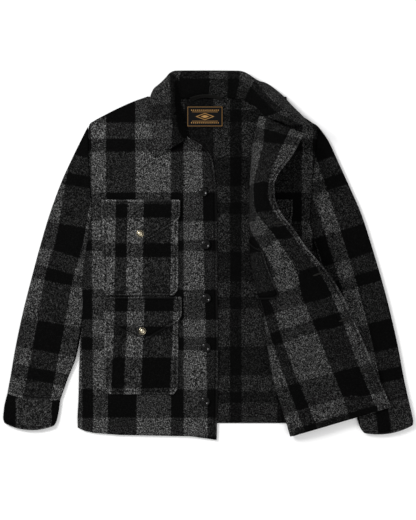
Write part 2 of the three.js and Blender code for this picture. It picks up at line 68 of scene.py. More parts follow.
# Where a piece on the raised front begins, over the middle of the front's cloth.
ON_TOP = CLOTH / 2 + SEAM + 0.3
# The middle of the left front's lower layer, over the back.
LOWER_MID = CLOTH + SEAM + 0.25 + CLOTH / 2
# The stitch distance of a point that has no sewn edge.
NO_STITCH = 1000.0
# How far a Bezier curve's handles reach round a quarter circle, as a share of its radius.
ROUND = 0.55
# The turn between one wave of an uneven field and the next, in radians, and the number of waves.
GOLDEN_ANGLE, WAVES = 2.399963, 7

Array = np.ndarray
Height = Callable[[Array, Array], Array]
Place = Sequence[tuple[float, float]]
Size = tuple[float, float, float]


class Held(Enum):
    LAID = "laid"
    FOLDED = "folded"


class Slot(Enum):
    """The material slots of the record."""

    WOOL = "wool"
    LABEL = "label_weave"
    TAPE = "tape"
    BUTTON = "button"
    SNAP = "snap_metal"


class Curve:
    """A smooth function through points that never overshoots them."""

    def __init__(self, at: Sequence[float], values: Sequence[float]) -> None:
        """Fits the curve.

        Args:
            at: The places, in any order.
            values: The value at each place.
        """
        order = np.argsort(at)
        self.x = np.asarray(at, float)[order]
        self.y = np.asarray(values, float)[order]
        slope = np.diff(self.y) / np.diff(self.x)
        self.m = np.zeros_like(self.y)
        self.m[0], self.m[-1] = slope[0], slope[-1]
        product = slope[:-1] * slope[1:]
        total = slope[:-1] + slope[1:]
        self.m[1:-1] = np.where(product > 0, 2 * product / np.where(product > 0, total, 1.0), 0.0)

    def __call__(self, place: Union[float, Array]) -> Array:
        """Gives the value at a place.

        Args:
            place: One place or an array of them.

        Returns:
            The values there, held at the ends.
        """
        x = np.clip(np.asarray(place, float), self.x[0], self.x[-1])
        i = np.clip(np.searchsorted(self.x, x, side="right") - 1, 0, len(self.x) - 2)
        span = self.x[i + 1] - self.x[i]
        t = (x - self.x[i]) / span
        s = 1 - t
        near = self.y[i] * (1 + 2 * t) * s * s + self.m[i] * span * t * s * s
        return near + self.y[i + 1] * (3 - 2 * t) * t * t - self.m[i + 1] * span * t * t * s


class Table:
    """Rows of numbers with named columns."""

    def __init__(self, columns: str, rows: Sequence[Sequence[float]]) -> None:
        """Keeps the rows under the column names, which have a space between them."""
        self.names = columns.split()
        self.rows = np.asarray(rows, float)

    def __getitem__(self, name: str) -> Array:
        """Gives one column by its name."""
        return self.rows[:, self.names.index(name)]

    def __len__(self) -> int:
        """Gives the number of rows."""
        return len(self.rows)

    def curve(self, at: str, of: str) -> Curve:
        """Fits one column over another."""
        return Curve(self[at], self[of])

    def read(self, places: Array, column: str = "") -> list[dict[str, float]]:
        """Reads every column at each of some places.

        Args:
            places: Places in one of the columns, or row numbers where that has no name.
            column: That column's name.

        Returns:
            For each place, a value by each column's name.
        """
        along = self[column] if column else np.arange(len(self))
        curves = {name: Curve(along, self[name]) for name in self.names if name != column}
        return [{name: float(curve(place)) for name, curve in curves.items()} for place in places]

    def sett(self, value: Array) -> Array:
        """Reads the sett from the first column by straight lines, carried on past the ends.

        Args:
            value: The places asked for.

        Returns:
            The position in the sett, in millimetres.
        """
        order = np.argsort(self.rows[:, 0])
        x, y = self.rows[order, 0], self.rows[order, 1]
        value = np.asarray(value, float)
        first = (y[1] - y[0]) / (x[1] - x[0])
        last = (y[-1] - y[-2]) / (x[-1] - x[-2])
        past = np.minimum(value - x[0], 0) * first + np.maximum(value - x[-1], 0) * last
        return np.interp(value, x, y) + past


RIGHT_SIDE = Table("y x", [
    (-386, -291.5), (-364.5, -292), (-324, -290), (-256.5, -288.5), (-163.5, -283.5), (-121.5, -280),
    (-31.5, -280), (36, -271), (92, -263), (126, -264.5), (193.5, -269), (261, -271), (279, -269),
    (297, -264.5), (303, -256), (317.5, -229.5), (333.5, -197.5), (348.5, -163), (358, -135)])
LEFT_SIDE = Table("y x", [
    (-375, 283), (-324, 280), (-279, 275.5), (-189, 264.5), (-99, 255.5), (-27, 249.5), (0, 245.4),
    (22, 240.8), (48, 234.4), (67, 230.5), (115, 232), (171, 235), (238.5, 242), (286, 247.5),
    (294, 242), (297, 236), (314, 207), (338.5, 183.5), (352, 174)])
CENTRE_EDGE = Table("y x", [
    (-412.5, 17), (-211.5, 21.5), (-99, 20), (58.5, 19), (137, 18), (180, 14.5), (216, 9), (237, -3.5),
    (253, -21.5), (266.5, -46.5), (279, -53), (308, -62), (340, -67.5), (358, -68.5)])
FRONT_HEM = Table("x drop", [(-291.5, 0), (-278, 6.5), (-255, 11), (-199, 15.5), (-39.5, 18.5), (17, 26.5)])
SWELLS = Table("x y turn length width height", [
    (-215, 180, 70, 120, 34, 1.6), (-110, 190, 100, 110, 40, 1.2), (-20, 40, 92, 170, 26, 1.1),
    (-255, -60, 88, 130, 20, 1.5), (-30, -290, 86, 120, 26, 1.5), (-200, -350, 8, 110, 22, 1.2)])

# The sett repeats along the warp and the weft. The warp's dark broad, light broad, dark narrow and light narrow
# bands begin at these places.
WARP_REPEAT, WEFT_REPEAT = 211.5, 220.0
DARK, LIGHT, NARROW_DARK, NARROW_LIGHT = 0.0, 65.5, 146.5, 174.5
# A band runs from its place to the next one, and 1 is a light band.
WARP_BANDS = ((DARK, 0), (LIGHT, 1), (NARROW_DARK, 0), (NARROW_LIGHT, 1))
WEFT_BANDS = ((0.0, 0), (65.0, 1), (105.0, 0), (132.0, 1))
FRONT_WARP_TOP = Table("x sett", [
    (-291.4, -65), (-263.2, -37), (-230.6, 0), (-164.2, 65.5), (-84.4, 146.5), (-56.2, 174.5),
    (-14.6, 211.5), (16.9, 243)])
FRONT_WARP_LOW = Table("x sett", [
    (-283.5, -65), (-258.8, -37), (-226.1, 0), (-161.3, 65.5), (-84.4, 146.5), (-55.6, 174.5),
    (-2.2, 211.5), (19.1, 233)])
FRONT_WEFT = Table("y sett", [
    (363.4, 0), (299.2, 65), (263.2, 105), (234, 132), (142.9, 220), (77.6, 285), (36, 325), (11.2, 352),
    (-75.4, 440), (-142.9, 505), (-182.2, 545), (-211.5, 572), (-299.2, 660), (-363.4, 725), (-420, 780)])
BACK_WARP = Table("x sett", [
    (-300, 523), (11.2, 211.5), (48.4, 174.5), (74.2, 146.5), (154.1, 65.5), (300, -80)])
BACK_WEFT = Table("y sett", [
    (360, -147), (328.5, -115), (301.5, -88), (222.8, 0), (156.4, 65), (120.4, 105), (93.4, 132),
    (10.1, 220), (-56.2, 285), (-92.2, 325), (-119.2, 352), (-203.6, 440), (-267.8, 505), (-306, 545),
    (-329.6, 572), (-375.8, 618)])


def wander(x: Array, y: Array, scale: float, seed: int) -> Array:
    """Gives a smooth uneven field that is the same on every run.

    Args:
        x: First coordinate, in millimetres.
        y: Second coordinate, in millimetres.
        scale: The size of its hills, in millimetres.
        seed: Picks one of many fields.

    Returns:
        Values from about -1 to 1.
    """
    total = np.zeros(np.broadcast(x, y).shape)
    for k in range(WAVES):
        turn = GOLDEN_ANGLE * (k + 1) + 1.7 * seed
        rate = 2 * math.pi / scale * (0.7 + 0.13 * ((k * 5 + seed * 3) % WAVES))
        total = total + np.sin((x * math.cos(turn) + y * math.sin(turn)) * rate + 4.1 * k + 2.3 * seed)
    return total / 4.2


def swell(x: Array, y: Array) -> Array:
    """Gives the height of the right front's soft hills.

    Args:
        x: X in millimetres.
        y: Y in millimetres.

    Returns:
        The height in millimetres.
    """
    height = np.zeros(np.broadcast(x, y).shape)
    for px, py, turn, length, width, top in SWELLS.rows:
        c, s = math.cos(math.radians(turn)), math.sin(math.radians(turn))
        along = ((x - px) * c + (y - py) * s) / length
        across = (-(x - px) * s + (y - py) * c) / width
        height = height + top * np.exp(-(along**2) - across**2)
    return height


def right_front_top(x: Array, y: Array) -> Array:
    """Gives the height of the right front's upper face, in millimetres."""
    return CLOTH + SEAM + 0.2 + swell(x, y) + CLOTH


def unit(v: Array) -> Array:
    """Scales vectors to length 1."""
    return v / np.maximum(np.linalg.norm(v, axis=-1, keepdims=True), 1e-9)


def eased(t: Array) -> Array:
    """Gives a smooth step from 0 to 1 as its argument does the same."""
    t = np.clip(t, 0, 1)
    return t * t * (3 - 2 * t)


def bezier(t: Array, *corners: Array) -> Array:
    """Evaluates a Bezier curve.

    Args:
        t: Its parameters, from 0 to 1.
        corners: Its control points.

    Returns:
        One point for each parameter.
    """
    n, t = len(corners) - 1, t[:, None]
    return sum(math.comb(n, k) * (1 - t) ** (n - k) * t**k * corner[None, :] for k, corner in enumerate(corners))


def resampled(points: Array, count: int) -> Array:
    """Spaces a polyline's points evenly along its length.

    Args:
        points: The polyline.
        count: How many points it gets.

    Returns:
        The new points.
    """
    run = np.concatenate([[0.0], np.cumsum(np.linalg.norm(np.diff(points, axis=0), axis=1))])
    at = np.linspace(0, run[-1], count)
    return np.stack([np.interp(at, run, points[:, k]) for k in range(3)], axis=1)


def lengths(points: Array, axis: int) -> Array:
    """Measures the way along a grid's rows or columns.

    Args:
        points: Rows by columns by 3.
        axis: 1 to go along each row, and 0 to go down each column.

    Returns:
        The length from the first point, rows by columns.
    """
    step = np.linalg.norm(np.diff(points, axis=axis), axis=2)
    start = np.zeros_like(np.take(step, [0], axis=axis))
    return np.concatenate([start, np.cumsum(step, axis=axis)], axis=axis)


def closed(rings: Array) -> Array:
    """Repeats each ring's first point at its end."""
    return np.concatenate([rings, rings[:, :1]], axis=1)


def edge_distance(points: Array, sides: str = "") -> Array:
    """Measures each grid point's distance to some of the grid's edges.

    Args:
        points: Rows by columns by 3, in millimetres.
        sides: Any of n, s, w and e, for the first and the last row and the first and the last column.

    Returns:
        The distance to the nearest of them, in millimetres.
    """
    across, along = lengths(points, 1), lengths(points, 0)
    each = {"w": across, "e": across[:, -1:] - across, "n": along, "s": along[-1:] - along}
    if not sides:
        return np.full(points.shape[:2], NO_STITCH)
    return np.minimum.reduce([each[side] for side in sides])


@dataclass
class Cloth:
    """A grid of cloth: the middle of its wall, its place in the sett and its distance from a sewn edge.

    Attributes:
        points: Positions in millimetres, rows by columns by 3.
        sett: Position in the sett in millimetres, rows by columns by 2.
        stitch: Distance to the nearest sewn edge in millimetres, rows by columns.
    """

    points: Array
    sett: Array
    stitch: Array

    def normals(self) -> Array:
        """Gives the unit normal at each point."""
        return unit(np.cross(np.gradient(self.points, axis=1), np.gradient(self.points, axis=0)))

    def flat_size(self) -> Size:
        """Measures the cut.

        Returns:
            Its width and length in metres and its area in square metres.
        """
        across, along = lengths(self.points, 1)[:, -1], lengths(self.points, 0)[-1]
        one, other = self.points[1:, 1:] - self.points[:-1, :-1], self.points[1:, :-1] - self.points[:-1, 1:]
        area = 0.5 * np.linalg.norm(np.cross(one, other), axis=2).sum()
        return float(across.max() * MM), float(along.max() * MM), float(area * MM * MM)


class MeshMaker:
    """Turns grids into closed mesh objects with a sett map and a stitch attribute."""

    @staticmethod
    def make(
        name: str, vertices: Array, faces: Sequence[Sequence[int]], sett: Array, stitch: Array = np.empty(0)
    ) -> bpy.types.Object:
        """Makes one smooth object.

        Args:
            name: The object's name.
            vertices: Positions in millimetres.
            faces: Vertex numbers of each face, all wound the same way.
            sett: Position in the sett for each vertex, in millimetres.
            stitch: Distance to a sewn edge for the first vertices, in millimetres. The others have none.

        Returns:
            The object, linked to the scene.
        """
        quads = np.asarray([f for f in faces if len(f) == 4], int)
        a, b, c, d = (vertices[quads[:, k]] for k in range(4))
        volume = np.einsum("ij,ij->i", a, np.cross(b, c)).sum() + np.einsum("ij,ij->i", a, np.cross(c, d)).sum()
        if volume < 0:
            faces = [tuple(reversed(f)) for f in faces]
        mesh = bpy.data.meshes.new(name)
        mesh.from_pydata((vertices * MM).tolist(), [], [tuple(int(i) for i in f) for f in faces])
        mesh.polygons.foreach_set("use_smooth", [True] * len(mesh.polygons))
        loops = np.empty(len(mesh.loops), int)
        mesh.loops.foreach_get("vertex_index", loops)
        layer = mesh.uv_layers.new(name="sett")
        layer.data.foreach_set("uv", (sett[loops] * MM).ravel())
        attribute = mesh.attributes.new("stitch", "FLOAT", "POINT")
        unsewn = np.full(len(vertices) - len(stitch), NO_STITCH)
        attribute.data.foreach_set("value", np.concatenate([stitch, unsewn]) * MM)
        mesh.update()
        obj = bpy.data.objects.new(name, mesh)
        bpy.context.scene.collection.objects.link(obj)
        return obj

    @staticmethod
    def cells(at: Array) -> list[tuple[int, ...]]:
        """Gives the four corners of each cell in a grid of vertex numbers."""
        return list(zip(at[:-1, :-1].ravel(), at[:-1, 1:].ravel(), at[1:, 1:].ravel(), at[1:, :-1].ravel()))

    @classmethod
    def faced(cls, at: Array, count: int) -> list[tuple[int, ...]]:
        """Gives the cells of one face and of the other, turned over, whose numbers are higher by a count."""
        cells = cls.cells(at)
        return cells + [(a + count, d + count, c + count, b + count) for a, b, c, d in cells]

    @classmethod
    def sheet(cls, name: str, cloth: Cloth, thickness: float = CLOTH) -> bpy.types.Object:
        """Makes a sheet with a wall round the middle of its grid, in millimetres."""
        half = cloth.normals() * thickness / 2
        return cls.between(name, cloth.points + half, cloth.points - half, cloth)

    @classmethod
    def between(cls, name: str, top: Array, bottom: Array, cloth: Cloth) -> bpy.types.Object:
        """Makes a closed sheet from its two faces, with an edge that bulges a little.

        Args:
            name: The object's name.
            top: One face's points, in millimetres.
            bottom: The other's.
            cloth: The grid with the sett and the stitch distance of both.

        Returns:
            The object.
        """
        count = top.shape[0] * top.shape[1]
        at = np.arange(count).reshape(top.shape[:2])
        loop = np.concatenate([at[0, :-1], at[:-1, -1], at[-1, :0:-1], at[:0:-1, 0]])
        middle = (top + bottom) / 2
        inward = np.zeros_like(middle)
        inward[0] += unit(middle[1] - middle[0])
        inward[-1] += unit(middle[-2] - middle[-1])
        inward[:, 0] += unit(middle[:, 1] - middle[:, 0])
        inward[:, -1] += unit(middle[:, -2] - middle[:, -1])
        wall = np.linalg.norm(top - bottom, axis=2, keepdims=True)
        rim = (middle - unit(inward) * wall * 0.3).reshape(-1, 3)[loop]
        vertices = np.concatenate([top.reshape(-1, 3), bottom.reshape(-1, 3), rim])
        p, q, r = loop, np.roll(loop, -1), 2 * count + np.arange(len(loop))
        s = np.roll(r, -1)
        faces = cls.faced(at, count) + list(zip(q, p, r, s)) + list(zip(s, r, p + count, q + count))
        sett = cloth.sett.reshape(-1, 2)
        return cls.make(name, vertices, faces, np.concatenate([sett, sett, sett[loop]]), cloth.stitch.ravel())

    @classmethod
    def tube(cls, name: str, outer: Array, inner: Array, sett: Array, stitch: Array) -> bpy.types.Object:
        """Makes an open tube with a wall from its rings of points.

        Args:
            name: The object's name.
            outer: The outer face's points in millimetres, rings by points by 3.
            inner: The inner face's.
            sett: Position in the sett of each of the outer face's points, in millimetres.
            stitch: Distance to the sewn mouth of each, in millimetres.

        Returns:
            The object.
        """
        rings, around = outer.shape[:2]
        count = rings * around
        lips = [(outer[k] + inner[k]) / 2 + unit(outer[k] - outer[n]) * 0.8 for k, n in ((0, 1), (-1, -2))]
        vertices = np.concatenate([outer.reshape(-1, 3), inner.reshape(-1, 3), *lips])
        at = np.arange(count).reshape(rings, around)
        faces = cls.faced(closed(at), count)
        for lip, j, turn in ((0, at[0], 1), (around, at[-1], -1)):
            a = 2 * count + lip + np.arange(around)
            b, k = np.roll(a, -1), np.roll(j, -1)
            for strip in ((k, j, a, b), (b, a, j + count, k + count)):
                faces += [quad[::turn] for quad in zip(*strip)]
        flat = sett.reshape(-1, 2)
        return cls.make(name, vertices, faces, np.concatenate([flat, flat, sett[0], sett[-1]]), stitch.ravel())

    @classmethod
    def turned(cls, name: str, profile: Place, segments: int) -> bpy.types.Object:
        """Turns a profile about Z.

        Args:
            name: The object's name.
            profile: Radius and height of each ring in millimetres, first and last on the axis.
            segments: How many steps go round.

        Returns:
            The object, centred on its axis.
        """
        angle = np.arange(segments) * 2 * math.pi / segments
        circle = np.stack([np.cos(angle), np.sin(angle), np.zeros(segments)], 1)
        rings = [circle * r + [0, 0, z] for r, z in profile[1:-1]]
        vertices = np.concatenate([[[0, 0, profile[0][1]]], *rings, [[0, 0, profile[-1][1]]]])
        last = len(vertices) - 1
        at = np.arange(1, last).reshape(-1, segments)
        first, end = closed(at)[0], closed(at)[-1]
        faces = [(0, b, a) for a, b in zip(first, first[1:])] + [(last, a, b) for a, b in zip(end, end[1:])]
        return cls.make(name, vertices, faces + cls.cells(closed(at)), vertices[:, :2])

    @classmethod
    def strand(cls, name: str, path: Array, radius: float, sides: int = 8) -> bpy.types.Object:
        """Makes a round thread that follows a path.

        Args:
            name: The object's name.
            path: The thread's middle line, in millimetres.
            radius: Its radius, in millimetres.
            sides: How many sides it has.

        Returns:
            The object.
        """
        step = unit(np.gradient(path, axis=0))
        side = unit(np.cross(step, [0.0, 0.0, 1.0]) + 1e-6)
        up = np.cross(side, step)
        angle = np.arange(sides)[None, :, None] * 2 * math.pi / sides
        rings = path[:, None] + radius * (side[:, None] * np.cos(angle) + up[:, None] * np.sin(angle))
        at = np.arange(len(path) * sides).reshape(-1, sides)
        faces = cls.cells(closed(at)) + [tuple(at[0][::-1]), tuple(at[-1])]
        return cls.make(name, rings.reshape(-1, 3), faces, np.zeros((at.size, 2)))


Operand = Union["Signal", float]


class Signal:
    """A number socket in a node tree that takes part in ordinary arithmetic."""

    def __init__(self, finish: "Finish", socket: bpy.types.NodeSocket) -> None:
        """Wraps an output socket of a finish's node tree."""
        self.finish = finish
        self.socket = socket

    def math(self, operation: str, *others: Operand) -> "Signal":
        """Adds a Math node with this as its first operand and gives its result."""
        return self.finish.math(operation, self, *others)

    def __add__(self, other: Operand) -> "Signal":
        """Adds another value."""
        return self.math("ADD", other)

    def __radd__(self, other: float) -> "Signal":
        """Adds this to a number."""
        return self.math("ADD", other)

    def __mul__(self, other: Operand) -> "Signal":
        """Multiplies by another value."""
        return self.math("MULTIPLY", other)

    def __rmul__(self, other: float) -> "Signal":
        """Multiplies a number by this."""
        return self.math("MULTIPLY", other)

    def __sub__(self, other: Operand) -> "Signal":
        """Takes another value away."""
        return self.math("SUBTRACT", other)

    def __rsub__(self, other: float) -> "Signal":
        """Takes this away from a number."""
        return self.finish.math("SUBTRACT", other, self)

    def __truediv__(self, other: Operand) -> "Signal":
        """Divides by another value."""
        return self.math("DIVIDE", other)

    def __rtruediv__(self, other: float) -> "Signal":
        """Divides a number by this."""
        return self.finish.math("DIVIDE", other, self)

    def __abs__(self) -> "Signal":
        """Drops the sign."""
        return self.math("ABSOLUTE")

    def fraction(self) -> "Signal":
        """Gives the part after the decimal point, from 0 to 1."""
        return self.math("FRACT")

    def below(self, limit: Operand) -> "Signal":
        """Gives 1 where this is below a limit."""
        return self.math("LESS_THAN", limit)

    def held(self, low: float = 0.0, high: float = 1.0) -> "Signal":
        """Holds the value between two limits."""
        return self.math("MAXIMUM", low).math("MINIMUM", high)

    def hill(self, place: float, width: float) -> "Signal":
        """Gives a smooth hill of height 1 round a value."""
        x = (self - place) / width
        return 1.0 / (1.0 + x * x * x * x)


class Finish:
    """A procedural material and the tools that its looks are made with."""

    def __init__(self, name: str) -> None:
        """Starts a material that has only its shader.

        Args:
            name: The material's name.
        """
        self.material = bpy.data.materials.new(name)
        self.material.use_nodes = True
        self.tree = self.material.node_tree
        self.tree.nodes.clear()
        self.shader = self.node("ShaderNodeBsdfPrincipled")
        self.node("ShaderNodeOutputMaterial", {}, {"Surface": self.shader.outputs[0]})
        self.place = self.node("ShaderNodeTexCoord").outputs["Object"]

    def node(
        self,
        kind: str,
        settings: Mapping[str, object] | None = None,
        sockets: Mapping[int | str, object] | None = None,
    ) -> bpy.types.Node:
        """Adds a node.

        Args:
            kind: The node's type.
            settings: Its properties, with a colour ramp's stops as pairs of place and grey under "stops".
            sockets: A value or a link for each input, by number or name.

        Returns:
            The node.
        """
        node = self.tree.nodes.new(kind)
        for name, value in (settings or {}).items():
            if name == "stops":
                self.set_stops(node.color_ramp, value)
            else:
                setattr(node, name, value)
        for key, value in (sockets or {}).items():
            source = value.socket if isinstance(value, Signal) else value
            if isinstance(source, bpy.types.NodeSocket):
                self.tree.links.new(source, node.inputs[key])
            else:
                node.inputs[key].default_value = source
        return node

    @staticmethod
    def set_stops(ramp: bpy.types.ColorRamp, stops: Place) -> None:
        """Gives a colour ramp its stops.

        Args:
            ramp: The ramp.
            stops: The place and the grey of each stop.
        """
        while len(ramp.elements) < len(stops):
            ramp.elements.new(0.5)
        for element, (place, grey) in zip(ramp.elements, stops):
            element.position = place
            element.color = (grey, grey, grey, 1)

    def math(self, operation: str, *operands: Operand) -> Signal:
        """Adds a Math node and gives its result."""
        node = self.node("ShaderNodeMath", {"operation": operation}, dict(enumerate(operands)))
        return Signal(self, node.outputs[0])

    def noise(
        self, size: float, detail: float = 2.0, rough: float = 0.5, stretch: Sequence[float] = (1, 1, 1)
    ) -> Signal:
        """Adds noise over the object.

        Args:
            size: The size of its grains, in metres.
            detail: How many finer layers it has.
            rough: The weight of the finer layers.
            stretch: How much finer it is along X, Y and Z.

        Returns:
            Its value, about 0.5 in the middle.
        """
        mapping = self.node("ShaderNodeMapping", {}, {"Vector": self.place, "Scale": stretch})
        sockets = {"Vector": mapping.outputs[0], "Scale": 1.0 / size, "Detail": detail, "Roughness": rough}
        return Signal(self, self.node("ShaderNodeTexNoise", {}, sockets).outputs[0])

    def axes(self, vector: bpy.types.NodeSocket) -> list[Signal]:
        """Splits a vector into its three numbers."""
        split = self.node("ShaderNodeSeparateXYZ", {}, {0: vector})
        return [Signal(self, output) for output in split.outputs]

    def sett(self) -> list[Signal]:
        """Gives the two coordinates of the sett map, in metres."""
        return self.axes(self.node("ShaderNodeUVMap", {"uv_map": "sett"}).outputs[0])[:2]

    def mix(self, factor: Signal, first: Sequence[float], second: Sequence[float]) -> bpy.types.NodeSocket:
        """Mixes two colours."""
        sockets = {0: factor, 6: (*first, 1.0), 7: (*second, 1.0)}
        return self.node("ShaderNodeMix", {"data_type": "RGBA"}, sockets).outputs[2]

    def bump(self, height: Signal, distance: float, strength: float = 1.0) -> None:
        """Gives the surface a relief whose unit of height is a distance in metres."""
        sockets = {"Height": height, "Distance": distance, "Strength": strength}
        self.link(self.node("ShaderNodeBump", {}, sockets).outputs[0], "Normal")

    def put(self, **values: float) -> None:
        """Sets constants on the shader, by input name with an underscore for each space."""
        for name, value in values.items():
            self.shader.inputs[name.replace("_", " ")].default_value = value

    def link(self, source: Union[Signal, bpy.types.NodeSocket], name: str) -> None:
        """Links a value or colour to one of the shader's inputs."""
        self.tree.links.new(source.socket if isinstance(source, Signal) else source, self.shader.inputs[name])


@dataclass(frozen=True)
class Yarns:
    """How light the wool is where its warp and weft cross, as shares of the light that comes back.

    Attributes:
        dark: Dark warp over dark weft.
        weft: Dark warp over light weft.
        warp: Light warp over dark weft.
        both: Light warp over light weft.
    """

    dark: float = 0.0017
    weft: float = 0.0102
    warp: float = 0.0205
    both: float = 0.0535


class PlaidWool(Finish):
    """Brushed wool in a black and grey sett, with heathered yarns, a nap, sewn lines with painted shade, a painted
    highlight at its edges and painted shading of soft folds.

    Attributes:
        YARNS: How light each crossing is.
        SEWN: A sewn line's distance from its edge and half its width, in metres.
        RIM: How far the painted highlight along an edge reaches in from it, in metres.
        BRIGHTEST: The colour of the lightest yarn.
    """

    YARNS = Yarns()
    SEWN = (0.0058, 0.0012)
    RIM = 0.0024
    BRIGHTEST = (0.25, 0.25, 0.247)

    def __init__(self, name: str, tone: float) -> None:
        """Builds the material.

        Args:
            name: The material's name.
            tone: How light its grey yarns are painted, which stands in for the light or shade that falls on the
                piece.
        """
        super().__init__(name)
        yarns = self.YARNS
        u, v = self.sett()
        hair = (self.noise(0.0026, 3.0, 0.65) - 0.5) * 0.009
        warp = self.bands(u + hair, WARP_REPEAT, WARP_BANDS)
        weft = self.bands(v - hair, WEFT_REPEAT, WEFT_BANDS)
        grain = (self.noise(0.002, 2.0, 0.75, (1.0, 0.75, 1.0)) - 0.5) * 8.6
        clump = (self.noise(0.006, 2.0, 0.6) - 0.5) * 2.0
        fleck = (grain + clump + 0.79).held(0.15, 2.4)
        fleck = fleck * fleck
        # Soft patches about 45 mm across, a little lighter and darker: painted shading of gentle folds.
        painted_fold_shade = (self.noise(0.045, 2.0) - 0.5) * 0.7 + 1.0
        light = weft * yarns.weft + warp * yarns.warp + warp * weft * (yarns.both - yarns.weft - yarns.warp)
        value = light * fleck * painted_fold_shade * tone + (fleck * 0.25 + 0.75) * yarns.dark
        stitch = Signal(self, self.node("ShaderNodeAttribute", {"attribute_name": "stitch"}).outputs["Fac"])
        sewn, rim = stitch.hill(*self.SEWN), stitch.hill(0.0, self.RIM)
        # The sewn line is half as light: its dark thread, with painted shade in its groove. Near the edge the wool
        # is lighter: a painted highlight.
        value = value * (1.0 - sewn * 0.5) * (rim * 0.55 + 1.0) + rim * 0.004
        self.link(self.mix((value / self.BRIGHTEST[0]).held(), (0, 0, 0), self.BRIGHTEST), "Base Color")
        nap = self.noise(0.0014, 5.0, 0.65) + self.noise(0.005, 3.0, 0.5) * 0.8
        self.bump(nap - sewn * 1.6, 0.0008, 0.7)
        self.put(Roughness=0.95, Specular_IOR_Level=0.03)

    def bands(self, at: Signal, repeat: float, bands: Sequence[tuple[float, int]]) -> Signal:
        """Gives 1 in the light bands and 0 in the dark ones.

        Args:
            at: Position in the sett, in metres.
            repeat: The sett's length, in millimetres.
            bands: Each band's start in millimetres, and 1 where it is light.

        Returns:
            The bands, a little soft at their edges.
        """
        soft = 0.7 / repeat
        ends = [start for start, _ in bands[1:]] + [repeat]
        stops = []
        for (start, value), end in zip(bands, ends):
            stops += [(start / repeat + soft, value), (end / repeat - soft, value)]
        ramp = self.node("ShaderNodeValToRGB", {"stops": stops}, {0: (at / (repeat * MM)).fraction()})
        return Signal(self, ramp.outputs[0])


class Resin(Finish):
    """Polished dark button resin with faint streaks."""

    def __init__(self) -> None:
        """Builds the material."""
        super().__init__("button_resin")
        streak = self.noise(0.004, 4.0, 0.6, (1.0, 4.0, 1.0))
        self.link(self.mix(streak, (0.0012, 0.0012, 0.0015), (0.004, 0.0038, 0.0035)), "Base Color")
        self.link(self.noise(0.0015, 3.0) * 0.06 + 0.07, "Roughness")
        self.bump(self.noise(0.0008, 3.0), 0.00002)
        self.put(Specular_IOR_Level=0.17)


class PaleBrass(Finish):
    """Satin pale brass with small scratches, and a painted dark ring in its groove that stands in for the shade and
    dark reflections there.
    """

    def __init__(self) -> None:
        """Builds the material."""
        super().__init__("snap_brass")
        u, v = self.sett()
        wear = self.noise(0.0018, 4.0, 0.65)
        # The ring at 6.4 mm is painted dark: it stands in for the groove's shade and dark reflections.
        scratches_and_painted_ring = (wear * 0.7 + 0.3) * (1.0 - self.math("SQRT", u * u + v * v).hill(0.0064, 0.0009))
        self.link(self.mix(scratches_and_painted_ring, (0.012, 0.01, 0.007), (0.86, 0.76, 0.55)), "Base Color")
        self.link(wear * 0.15 + 0.14, "Roughness")
        self.bump(self.noise(0.0005, 3.0, 0.6, (1, 6, 1)), 0.00003)
        self.put(Metallic=1.0)


class WovenLabel(Finish):
    """A dark satin label with a woven gold border and a plain lozenge ornament."""

    def __init__(self) -> None:
        """Builds the material."""
        super().__init__("label_weave")
        u, v = self.sett()
        x, y = abs(u), abs(v)
        border = x.hill(0.0385, 0.0003) * y.below(0.0216) + y.hill(0.0213, 0.0003) * x.below(0.0388)
        lozenge = (x / 0.019 + y / 0.0072).hill(1.0, 0.085) + (x / 0.0095 + y / 0.0036).below(1.0)
        row = (u / 0.0046).fraction() - 0.5
        beads = (abs(row) * 0.0046 + abs(y - 0.0142)).below(0.00165) * x.below(0.0322)
        bars = y.hill(0.0104, 0.00034) * x.below(0.029)
        thread = (u / 0.0009).fraction().hill(0.5, 0.36)
        gold = (border + lozenge + beads + bars).held() * (thread * 0.55 + 0.4)
        self.link(self.mix(gold, (0.0045, 0.0045, 0.005), (0.4, 0.22, 0.075)), "Base Color")
        self.bump(gold * 0.6 + (v / 0.0007).fraction().hill(0.5, 0.35) * 0.3, 0.0002)
        self.put(Roughness=0.75, Specular_IOR_Level=0.04)


class Twill(Finish):
    """Dark woven tape or sewing thread with a fine diagonal."""

    def __init__(self, name: str, value: float, pitch: float) -> None:
        """Builds the material.

        Args:
            name: The material's name.
            value: How light it is.
            pitch: The distance between its ribs, in metres.
        """
        super().__init__(name)
        x, y, _ = self.axes(self.place)
        rib = ((x + y) / pitch).fraction().hill(0.5, 0.3)
        shade = (rib * 0.5 + 0.5) * (self.noise(0.001) * 0.6 + 0.7)
        self.link(self.mix(shade.held(), (0, 0, 0), (value * 1.5, value * 1.45, value * 1.3)), "Base Color")
        self.bump(rib, 0.0002)
        self.put(Roughness=0.85, Specular_IOR_Level=0.12)


class StudioFloor(Finish):
    """A plain pale floor."""

    def __init__(self) -> None:
        """Builds the material."""
        super().__init__("studio_floor")
        self.put(Roughness=1.0, Specular_IOR_Level=0.0, Base_Color=(0.98, 0.98, 0.98, 1))


